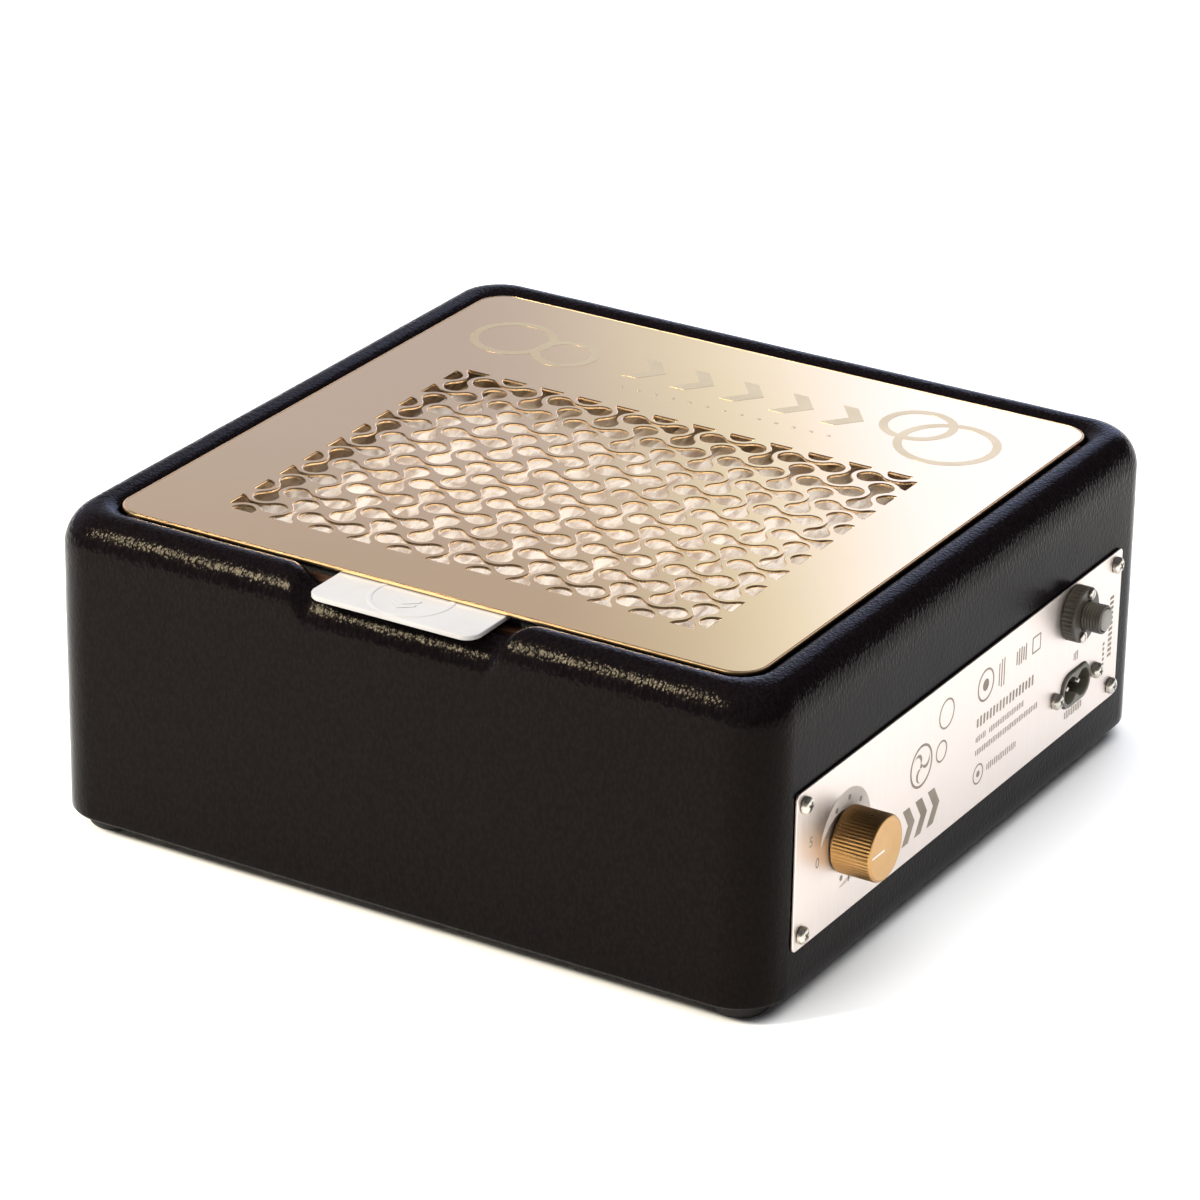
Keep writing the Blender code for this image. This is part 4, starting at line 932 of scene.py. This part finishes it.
def build_plate_ornament(top):
    """Etched band behind the lattice: a pair of linked rings at each end, chevrons and dots."""
    depth = 0.00003
    # Each shape stands a little higher than the one before, so that no two share a face.
    stagger = 0.000002
    middle_y = 0.0850
    stroke = 0.0032
    # Rings by x, shift along Y and radius.
    shapes = [ring_outlines(x, middle_y + shift, radius, stroke) for x, shift, radius in (
        (-0.0930, 0.0, 0.0160), (-0.0690, -0.003, 0.0125),
        (0.0700, 0.007, 0.0140), (0.0865, -0.003, 0.0190))]
    arm = 0.0092
    chevron_pitch = 0.0202
    dot_pitch = 0.0070
    for number in range(5):
        left = -0.0420 + number * chevron_pitch
        shapes.append(chevron(left, left + 0.0132, middle_y - arm, middle_y + arm, 0.0060))
    shapes += [[circle(-0.0360 + number * dot_pitch, middle_y - 0.0185, 0.0008, 20)]
               for number in range(13)]
    meshes = [flat_mesh(outlines, depth + stagger * number, base=top)
              for number, outlines in enumerate(shapes)]
    add_piece("etched_band", joined(meshes), "gold_mirror", "grille", finish=ETCHED_GOLD)


# ---------------------------------------------------------------- fasteners

def facing_right(x, middle):
    """Place of a right-facing piece at x, level with a middle."""
    return Matrix.Translation((x, middle.y, middle.z)) @ FACE_RIGHT


def place_on_right(node, height):
    """Where a right-facing piece of that height stands so that its outer end is the node's."""
    _, high, middle, _ = measured(node)
    return facing_right(high.x - height, middle)


def place_upright(node, height, down=False):
    """Where a piece of that height stands, or hangs, so that its outer end is the node's."""
    low, high, middle, _ = measured(node)
    if down:
        turned = Matrix.Rotation(math.pi, 4, "X")
        return Matrix.Translation((middle.x, middle.y, low.z + height)) @ turned
    return Matrix.Translation((middle.x, middle.y, high.z - height))


def screw_mesh(head_radius, head_height, shank_radius, shank_length, slotted=False):
    """Pan-head screw on its bearing face, with a cross or a slot cut into the head."""
    profile = [(0, head_height)]
    profile += arc_points(0.35 * head_radius, 0.35 * head_height, 0.65 * head_radius, 75, 0, 5,
                          0.65 * head_height)
    profile += [(head_radius, 0.0), (shank_radius, 0.0), (shank_radius, 0.0003 - shank_length),
                (shank_radius * 0.7, -shank_length), (0, -shank_length)]
    holder = in_scene("screw", lathe(profile, 40, closed=False))
    if slotted:
        angles = (25,)
        reach, half = 1.2 * head_radius, 0.11 * head_radius
    else:
        angles = (10, 100)
        reach, half = 0.62 * head_radius, 0.13 * head_radius
    cutters = []
    for angle in angles:
        bm = bmesh.new()
        bmesh.ops.create_cube(bm, size=2.0)
        bmesh.ops.scale(bm, vec=(reach, half, head_height * 0.45), verts=bm.verts)
        for vertex in bm.verts:
            if vertex.co.z < 0 and not slotted:
                vertex.co.x *= 0.55
        bmesh.ops.rotate(bm, cent=(0, 0, 0), matrix=Matrix.Rotation(math.radians(angle), 3, "Z"),
                         verts=bm.verts)
        bmesh.ops.translate(bm, vec=(0, 0, head_height * 0.95), verts=bm.verts)
        cutter = in_scene("cutter", finished_mesh(bm))
        cut = holder.modifiers.new("recess", "BOOLEAN")
        cut.operation = "DIFFERENCE"
        cut.solver = "EXACT"
        cut.object = cutter
        cutters.append(cutter)
    mesh = evaluated_mesh(holder)
    for cutter in cutters:
        bpy.data.objects.remove(cutter, do_unlink=True)
    return polish(mesh, 40)


def build_screws():
    """Detailed screws in place of the plain ones.

    A size is head radius, head height, shank radius and shank length.
    """
    groups = (
        ("panel_screw", 4, (0.0030, 0.0021, 0.0015, 0.0095), "right"),
        ("inlet_screw", 2, (0.0029, 0.0026, 0.0015, 0.0090), "right"),
        ("foot_screw", 4, (0.0040, 0.0024, 0.0020, 0.0240), "down"),
        ("motor_screw", 3, (0.0038, 0.0024, 0.0020, 0.0085), "down"),
        ("deck_screw", 4, (0.0030, 0.0022, 0.0015, 0.0140), "up"),
        ("collar_screw", 2, (0.0021, 0.0008, 0.0010, 0.0035), "right"),
    )
    for name, count, size, facing in groups:
        mesh = screw_mesh(*size, slotted=name == "collar_screw")
        for number in range(1, count + 1):
            node = f"{name}_{number}"
            if facing == "right":
                place = place_on_right(node, size[1])
                place = place @ Matrix.Rotation(math.radians(37 * number), 4, "Z")
            else:
                place = place_upright(node, size[1], down=facing == "down")
            add_piece(f"{node}_fine", mesh.copy(), "zinc_steel", "casing", place, (node,))


# ---------------------------------------------------------------- control panel

PANEL_LOW, PANEL_HIGH, PANEL_MIDDLE, PANEL_HALF = measured("control_panel")
PANEL_FACE = PANEL_HIGH.x
PRINT_DEPTH = 0.00003
# Height of a digit as a share of its font size.
DIGIT_SHARE = 0.69
KNOB_LOW, KNOB_HIGH, KNOB_MIDDLE, KNOB_HALF = measured("knob")
INLET_LOW, INLET_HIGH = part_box("power_inlet")
# The socket is centred between its pins.
INLET_MIDDLE = (measured("inlet_pin_1")[2] + measured("inlet_pin_2")[2]) / 2
BUTTON_LOW, BUTTON_HIGH, BUTTON_MIDDLE, BUTTON_HALF = measured("breaker_button")
ON_PANEL = Matrix.Translation((PANEL_FACE, 0, 0)) @ FACE_RIGHT


def build_control_panel():
    """Brushed plate with its screw holes and the holes for the knob, breaker and inlet."""
    thickness = 2 * PANEL_HALF.x
    outlines = [rounded_rectangle(PANEL_HALF.y, PANEL_HALF.z, 0.002,
                                  (PANEL_MIDDLE.y, PANEL_MIDDLE.z))]
    screw_hole = 0.0019
    knob_hole = 0.0039
    breaker_hole = 0.0056
    # Half width, half height and corner radius.
    inlet_hole = (0.0111, 0.0068, 0.0060)
    screws = [f"panel_screw_{number}" for number in range(1, 5)]
    for node in screws + ["inlet_screw_1", "inlet_screw_2"]:
        place = measured(node)[2]
        outlines.append(circle(place.y, place.z, screw_hole, 24))
    outlines.append(circle(KNOB_MIDDLE.y, KNOB_MIDDLE.z, knob_hole))
    outlines.append(circle(BUTTON_MIDDLE.y, BUTTON_MIDDLE.z, breaker_hole))
    outlines.append(rounded_rectangle(*inlet_hole, (INLET_MIDDLE.y, INLET_MIDDLE.z)))
    panel = flat_mesh(outlines, thickness, edge=0.0002, base=-thickness)
    add_piece("brushed_panel", panel, "brushed_steel", "casing", ON_PANEL, ("control_panel",))


def digit_mesh(text, height, centre):
    """A number as a thin flat mesh, its middle at the given place."""
    curve = bpy.data.curves.new("digit", "FONT")
    curve.body = text
    curve.size = height / DIGIT_SHARE
    curve.align_x = "CENTER"
    curve.align_y = "CENTER"
    curve.resolution_u = 4
    curve.extrude = PRINT_DEPTH / 2
    mesh = evaluated_mesh(in_scene("holder", curve))
    mesh.transform(Matrix.Translation((*centre, PRINT_DEPTH / 2)))
    return mesh


def build_dial_marks():
    """Wedge that widens towards the fast end of the dial, dots, and three numbers."""
    centre_y, centre_z = KNOB_MIDDLE.y, KNOB_MIDDLE.z
    outer = 0.0172
    start, end = -100, 172
    steps = 60
    widest = 0.0066
    narrowest = 0.0002
    dot_ring = 0.0140
    inner_line = []
    for step in range(steps + 1):
        share = step / steps
        angle = math.radians(end + (start - end) * share)
        width = widest * min(1.0, share / 0.30, (1 - share) / 0.45) ** 0.8 + narrowest
        inner_line.append((centre_y + (outer - width) * math.cos(angle),
                           centre_z + (outer - width) * math.sin(angle)))
    wedge = arc_points(centre_y, centre_z, outer, start, end, steps) + inner_line
    add_piece("dial_wedge", flat_mesh([wedge], PRINT_DEPTH), "brushed_steel", "casing", ON_PANEL,
              finish=DIAL_INK)
    dot_places = arc_points(centre_y, centre_z, dot_ring, 154, -98, 7)
    dots = [flat_mesh([circle(y, z, 0.0010, 20)], 2 * PRINT_DEPTH) for y, z in dot_places]
    for digit, height, y, z in (("5", 0.0036, -0.0233, 0.0081), ("0", 0.0036, -0.0186, -0.0015),
                                ("1", 0.0042, 0.0033, -0.0154)):
        dots.append(digit_mesh(digit, height, (centre_y + y, centre_z + z)))
    add_piece("dial_numbers", joined(dots), "brushed_steel", "casing", ON_PANEL, finish=PANEL_INK)


def fan_icon(centre_y, centre_z, radius):
    """Ring with three swept blades, the general sign for a fan."""
    shapes = [ring_outlines(centre_y, centre_z, radius, radius * 0.12)]
    for number in range(3):
        turn = math.radians(120 * number + 15)
        blade = arc_points(0.42 * radius, 0, 0.34 * radius, -150, 30, 12)
        blade += arc_points(0.42 * radius, 0.19 * radius, 0.36 * radius, 0, -160, 10)[1:-1]
        shapes.append([[(centre_y + y * math.cos(turn) - z * math.sin(turn),
                         centre_z + y * math.sin(turn) + z * math.cos(turn))
                        for y, z in blade]])
    shapes.append([circle(centre_y, centre_z, 0.11 * radius, 24)])
    return shapes


def ticks(left, right, low, high, pitch, width):
    """Row of short upright strokes in the space of a line of print."""
    count = round((right - left) / pitch)
    half_z = (high - low) / 2
    return [[rounded_rectangle(width / 2, half_z * (1.0 if number % 3 else 0.8), width * 0.3,
                               (left + (number + 0.5) * pitch, low + half_z), 2)]
            for number in range(count)]


def build_panel_marks():
    """Plain rings, arrows and rows of strokes where a maker's print would be."""
    shapes = fan_icon(-0.0344, 0.0546, 0.0078)
    shapes.append(ring_outlines(-0.0173, 0.0670, 0.0055, 0.0007))
    shapes.append(ring_outlines(-0.0201, 0.0542, 0.0040, 0.0007))
    for number in range(5):
        left = -0.0640 + number * 0.0088
        shapes.append(chevron(left, left + 0.0088, 0.0292, 0.0425, 0.0046))
    shapes.append(ring_outlines(0.0110, 0.0664, 0.0060, 0.0008))
    shapes.append([circle(0.0110, 0.0664, 0.0022, 24)])
    shapes.append([rounded_rectangle(0.0032, 0.0032, 0.0004, (0.0486, 0.0672), 2),
                   rounded_rectangle(0.0026, 0.0026, 0.0003, (0.0486, 0.0672), 2)])
    shapes.append(ring_outlines(0.0081, 0.0342, 0.0038, 0.0006))
    shapes.append([circle(0.0081, 0.0342, 0.0012, 24)])
    # Rows of print: left and right end, foot, head, pitch and width of the strokes.
    for left, right, low, high, pitch, width in (
            (0.0200, 0.0254, 0.0610, 0.0715, 0.0018, 0.0007),
            (0.0331, 0.0416, 0.0640, 0.0704, 0.0017, 0.0008),
            (0.0049, 0.0481, 0.0520, 0.0560, 0.0024, 0.0012),
            (0.0049, 0.0130, 0.0466, 0.0490, 0.0013, 0.0006),
            (0.0148, 0.0413, 0.0466, 0.0490, 0.0013, 0.0006),
            (0.0049, 0.0511, 0.0417, 0.0441, 0.0013, 0.0006),
            (0.0140, 0.0367, 0.0328, 0.0356, 0.0014, 0.0006),
            (0.0786, 0.0825, 0.0484, 0.0519, 0.0013, 0.0006),
            (0.0734, 0.0874, 0.0278, 0.0311, 0.0014, 0.0007)):
        shapes += ticks(left, right, low, high, pitch, width)
    # Two columns of strokes beside the breaker.
    for y, low, count, width in ((0.1078, 0.0400, 12, 0.0030), (0.1030, 0.0380, 5, 0.0014)):
        shapes += [[rounded_rectangle(width / 2, 0.0006, 0.0002, (y, low + 0.0020 * number), 2)]
                   for number in range(count)]
    meshes = [flat_mesh(outlines, PRINT_DEPTH) for outlines in shapes]
    place = Matrix.Translation((PANEL_FACE, MIDDLE.y, 0)) @ FACE_RIGHT
    add_piece("panel_print", joined(meshes), "brushed_steel", "casing", place, finish=PANEL_INK)


def build_knob():
    """Anodised knob with fine straight ribs, a chamfered edge and a white pointer line."""
    ribs = 60
    per_rib = 6
    radius = KNOB_HALF.z
    face = KNOB_HIGH.x
    back = KNOB_LOW.x
    cavity = 0.0068
    cavity_end = back + 0.0070
    bore_radius = 0.0033
    bore_end = face - 0.0020
    rim = 0.0010
    rib_depth = 0.00018

    def rib(angle, reach, height):
        if reach < radius - 0.0002 or not back + 0.0009 < height < face - rim * 0.5:
            return reach
        return reach - rib_depth * (0.5 - 0.5 * math.cos(ribs * angle)) ** 0.7

    profile = [(radius - rim * 1.05, face)]
    profile += arc_points(radius - rim, face - rim, rim, 72, 0, 4)
    profile += [(radius, face - rim * 1.01), (radius, face - rim * 1.3), (radius, back + 0.0012),
                (radius, back + 0.0008), (radius - 0.0004, back + 0.0007), (radius - 0.0005, back),
                (cavity, back), (cavity, cavity_end), (bore_radius, cavity_end),
                (bore_radius, bore_end), (0, bore_end)]
    place = facing_right(0, KNOB_MIDDLE)
    shell = lathe(profile, ribs * per_rib, closed=False, wave=rib)
    add_piece("knob_ribbed", shell, "gold_aluminium", "speed_knob", place, ("knob",))
    disc_radius = radius - rim * 1.05
    disc_back = face - 0.0004
    disc = lathe([(0, face), (radius - rim * 1.9, face), (disc_radius, face),
                  (disc_radius, disc_back), (0, disc_back)], 96, closed=False)
    add_piece("knob_face", disc, "gold_aluminium", "speed_knob", place, finish=KNOB_FACE)
    half = 0.00035
    line_start = -radius + 0.0022
    line_end = -0.0012
    line = [(line_start, -half), (line_end, -half), (line_end, half), (line_start, half)]
    add_piece("knob_pointer", flat_mesh([line], PRINT_DEPTH, base=face), "white_plastic",
              "speed_knob", place, finish=WHITE_INK)


def build_inlet():
    """Figure-8 socket: rim through the panel, ears behind it and a body round the pins."""
    rim_front = INLET_HIGH.x
    floor = INLET_LOW.x + 0.0060
    lobe = 0.0050
    spread = 0.0046
    waist = 36
    ear_thickness = 0.0026
    bottom_thickness = 0.0010
    # Outlines by half width, half height and corner radius.
    body = rounded_rectangle(0.0104, 0.0060, 0.0050)
    body_hole = rounded_rectangle(0.0104, 0.0059, 0.0050)
    ears = rounded_rectangle(0.0190, 0.0060, 0.0040)
    rim = rounded_rectangle(0.0107, 0.0064, 0.0056)
    socket = arc_points(spread, 0, lobe, waist - 180, 180 - waist, 20)
    socket += arc_points(-spread, 0, lobe, waist, 360 - waist, 20)
    depth = rim_front - floor
    ear_base = PANEL_LOW.x - rim_front - 0.0003 - ear_thickness
    parts = [flat_mesh([rim, socket], depth, edge=0.0003, base=-depth),
             flat_mesh([body], bottom_thickness, base=-depth),
             flat_mesh([ears, body_hole], ear_thickness, edge=0.0003, base=ear_base)]
    add_piece("figure_8_socket", joined(parts), "black_plastic", "casing",
              facing_right(rim_front, INLET_MIDDLE), ("power_inlet",), SOCKET_PLASTIC)
    for node in ("inlet_pin_1", "inlet_pin_2"):
        low, _, middle, half = measured(node)
        length = 2 * half.x
        pin = lathe([(0, length), (0.0007, length - 0.0001), (0.0011, length - 0.0006),
                     (0.0012, length - 0.0014), (0.0012, 0), (0, 0)], 32, closed=False)
        add_piece(node.replace("inlet", "socket"), pin, "zinc_steel", "casing",
                  facing_right(low.x, middle), (node,))


def build_breaker():
    """Reset breaker: ribbed collar, threaded neck and the domed end of its button."""
    place = facing_right(0, BUTTON_MIDDLE)
    low, high, _, half = measured("breaker_collar")
    radius = half.z
    ribs = 36
    round_edge = 0.0008
    rib_depth = 0.0004
    bore = 0.0055

    def rib(angle, reach, height):
        if reach < radius - 0.00005 or not low.x + 0.0004 < height < high.x - 0.0009:
            return reach
        return reach - rib_depth * (0.5 - 0.5 * math.cos(ribs * angle)) ** 2

    profile = arc_points(radius - round_edge, high.x - round_edge, round_edge, 90, 10, 4)
    profile.append((radius, high.x - round_edge))
    profile += [(radius, high.x - 0.0011), (radius, low.x + 0.0006), (radius, low.x),
                (bore, low.x), (bore, high.x)]
    add_piece("ribbed_collar", lathe(profile, ribs * 8, wave=rib), "black_plastic", "casing",
              place, ("breaker_collar",))
    build_breaker_body(place)
    end = BUTTON_HIGH.x
    start = BUTTON_LOW.x
    button_radius = BUTTON_HALF.z
    chamfer = 0.0006
    button = [(0, end), (button_radius - chamfer * 1.6, end),
              (button_radius - chamfer, end - 0.0001), (button_radius, end - chamfer),
              (button_radius, start), (0, start)]
    add_piece("reset_button_end", lathe(button, 48, closed=False), "grey_plastic",
              "reset_button", place, ("breaker_button",))


def build_breaker_body(place):
    """Housing behind the panel and the neck through it, with a real thread on the neck."""
    low, high, middle, half = measured("breaker_housing")
    neck_radius = 0.0052
    bore_radius = 0.0042
    pitch = 0.0011
    front = PANEL_LOW.x - 0.0003
    bore_back = front - 0.0020

    def thread(angle, reach, height):
        if reach < neck_radius - 0.0001 or height > high.x - 0.0003:
            return reach
        turns = height / pitch - angle / (2 * math.pi)
        return reach + 0.00014 - 0.0005 * abs((turns % 1.0) - 0.5)

    heights = subdivided([PANEL_FACE, high.x - 0.0002], pitch / 6)
    profile = [(bore_radius, bore_back), (bore_radius, high.x - 0.0002),
               (bore_radius + 0.0002, high.x), (neck_radius - 0.0005, high.x)]
    profile += [(neck_radius - 0.0001, height) for height in heights[::-1]]
    profile.append((neck_radius - 0.0001, bore_back))
    neck = lathe(profile, 72, wave=thread)
    body = [rounded_rectangle(half.y, half.z, 0.0012, (0, middle.z - BUTTON_MIDDLE.z)),
            circle(0, 0, bore_radius + 0.0006)]
    block = flat_mesh(body, front - low.x, edge=0.0004, base=low.x)
    for name, mesh in (("threaded_neck", neck), ("breaker_block", block)):
        add_piece(name, mesh, "black_plastic", "casing", place, ("breaker_housing",))


# ---------------------------------------------------------------- back and underside

def build_exhaust_grille():
    """Moulded plate on the back with a row of upright slots."""
    low, _, middle, half = measured("exhaust_grille")
    slots = 15
    spacing = 2 * EXHAUST_WINDOW_HALF / slots
    outlines = [rounded_rectangle(half.x, half.z, 0.004)]
    for index in range(slots):
        x = -EXHAUST_WINDOW_HALF + (index + 0.5) * spacing
        outlines.append(rounded_rectangle(0.0019, 0.0190, 0.00189, (x, 0)))
    grille = flat_mesh(outlines, 2 * half.y, edge=0.0004)
    place = Matrix.Translation((middle.x, low.y, middle.z)) @ FACE_BACK
    add_piece("slotted_grille", grille, "black_plastic", "casing", place, ("exhaust_grille",))


def build_feet():
    """Moulded rubber feet with a rounded tread and a recess for the screw's head."""
    recess = 0.0052
    recess_top = 0.0034
    shank_hole = 0.0024
    tread = 0.0022
    tread_round = 0.0016
    soft = 0.0004
    for number in range(1, 5):
        low, high, middle, half = measured(f"foot_{number}")
        radius = half.x
        top = high.z
        profile = [(radius - soft, top), (radius, top - soft), (radius, tread)]
        profile += arc_points(radius - tread_round, tread, tread_round, -18, -90, 4, tread)
        profile += [(recess + 0.0003, 0.0), (recess, soft), (recess, recess_top),
                    (shank_hole, recess_top), (shank_hole, top)]
        place = Matrix.Translation((middle.x, middle.y, low.z))
        add_piece(f"rubber_foot_{number}", lathe(profile, 56), "rubber", "casing", place,
                  (f"foot_{number}",))


def build_inlet_bell():
    """Bell mouth under the deck: a quarter-elliptical flare with a flat rim."""
    low, high, _, half = measured("inlet_ring")
    rim_radius = half.x
    rim_thickness = 0.0015
    soft = 0.0003
    outer_mouth = 0.0745
    inner_mouth = 0.0733
    flare = 0.0108
    depth = 2 * half.z
    profile = [(rim_radius, high.z - soft), (rim_radius, high.z - rim_thickness)]
    profile += arc_points(outer_mouth, low.z, flare, 90, 180, 16, depth - rim_thickness)
    profile += arc_points(inner_mouth, low.z, flare, 180, 90, 16, depth)
    profile.append((rim_radius - soft, high.z))
    add_piece("inlet_bell", lathe(profile, 128), "black_plastic", "casing",
              replaces=("inlet_ring",))


def build_motor_can():
    """Turned rotor cup with a rounded shoulder and a shallow ring sunk into its top."""
    low, high, _, half = measured("rotor_can")
    radius = half.x
    top = high.z
    wall = 0.0125
    inside = radius - wall
    roof = 0.0060
    bore = 0.0043
    shoulder = 0.0030
    sunk = 0.0006
    ring_inner, ring_outer = 0.0120, 0.0316
    profile = [(radius, low.z), (inside, low.z), (inside, top - roof), (bore, top - roof),
               (bore, top), (ring_inner, top), (ring_inner + sunk, top - sunk),
               (ring_outer - sunk, top - sunk), (ring_outer, top)]
    profile += arc_points(radius - shoulder, top - shoulder, shoulder, 90, 0, 8)
    add_piece("motor_can", lathe(profile, 128), "cast_aluminium", "fan", replaces=("rotor_can",))


def blade_outline(inner, outer, turn):
    """Backward-curved blade in plan, swept back from the eye to the rim of the wheel."""
    steps = 12
    sweep = 0.72
    half_thickness = 0.0008
    left = []
    right = []
    for step in range(steps + 1):
        share = step / steps
        radius = inner + (outer - inner) * share
        angle = turn - sweep * share
        slope = angle + math.atan2(-sweep * radius, outer - inner) + math.pi / 2
        x = radius * math.cos(angle)
        y = radius * math.sin(angle)
        side_x = half_thickness * math.cos(slope)
        side_y = half_thickness * math.sin(slope)
        left.append((x + side_x, y + side_y))
        right.append((x - side_x, y - side_y))
    return left + right[::-1]


def build_fan_wheel():
    """Moulded wheel: a back disc round the motor, curved blades and a front ring."""
    low, high, _, half = measured("impeller")
    radius = half.x
    hub = measured("rotor_can")[3].x + 0.0004
    eye = 0.0680
    sheet = 0.0020
    blades = 7
    meshes = [flat_mesh([circle(0, 0, radius, 128), circle(0, 0, inner, 96)], sheet, edge=0.0003,
                        base=base) for inner, base in ((hub, low.z), (eye, high.z - sheet))]
    for number in range(blades):
        outline = blade_outline(eye - 0.001, radius - 0.001, 2 * math.pi * number / blades)
        meshes.append(flat_mesh([outline], 2 * half.z - sheet, base=low.z + sheet / 2))
    add_piece("fan_wheel", joined(meshes), "black_plastic", "fan", replaces=("impeller",))


# ---------------------------------------------------------------- assembly

bpy.context.scene.view_settings.view_transform = "Standard"
for build in (build_camera, build_world, build_lights, build_floor, dress_cad_nodes,
              build_upholstery, build_filter_frame, build_filter_media, build_grille_plate,
              build_control_panel, build_dial_marks, build_panel_marks, build_knob, build_inlet,
              build_breaker, build_screws, build_exhaust_grille, build_feet, build_inlet_bell,
              build_motor_can, build_fan_wheel):
    build()
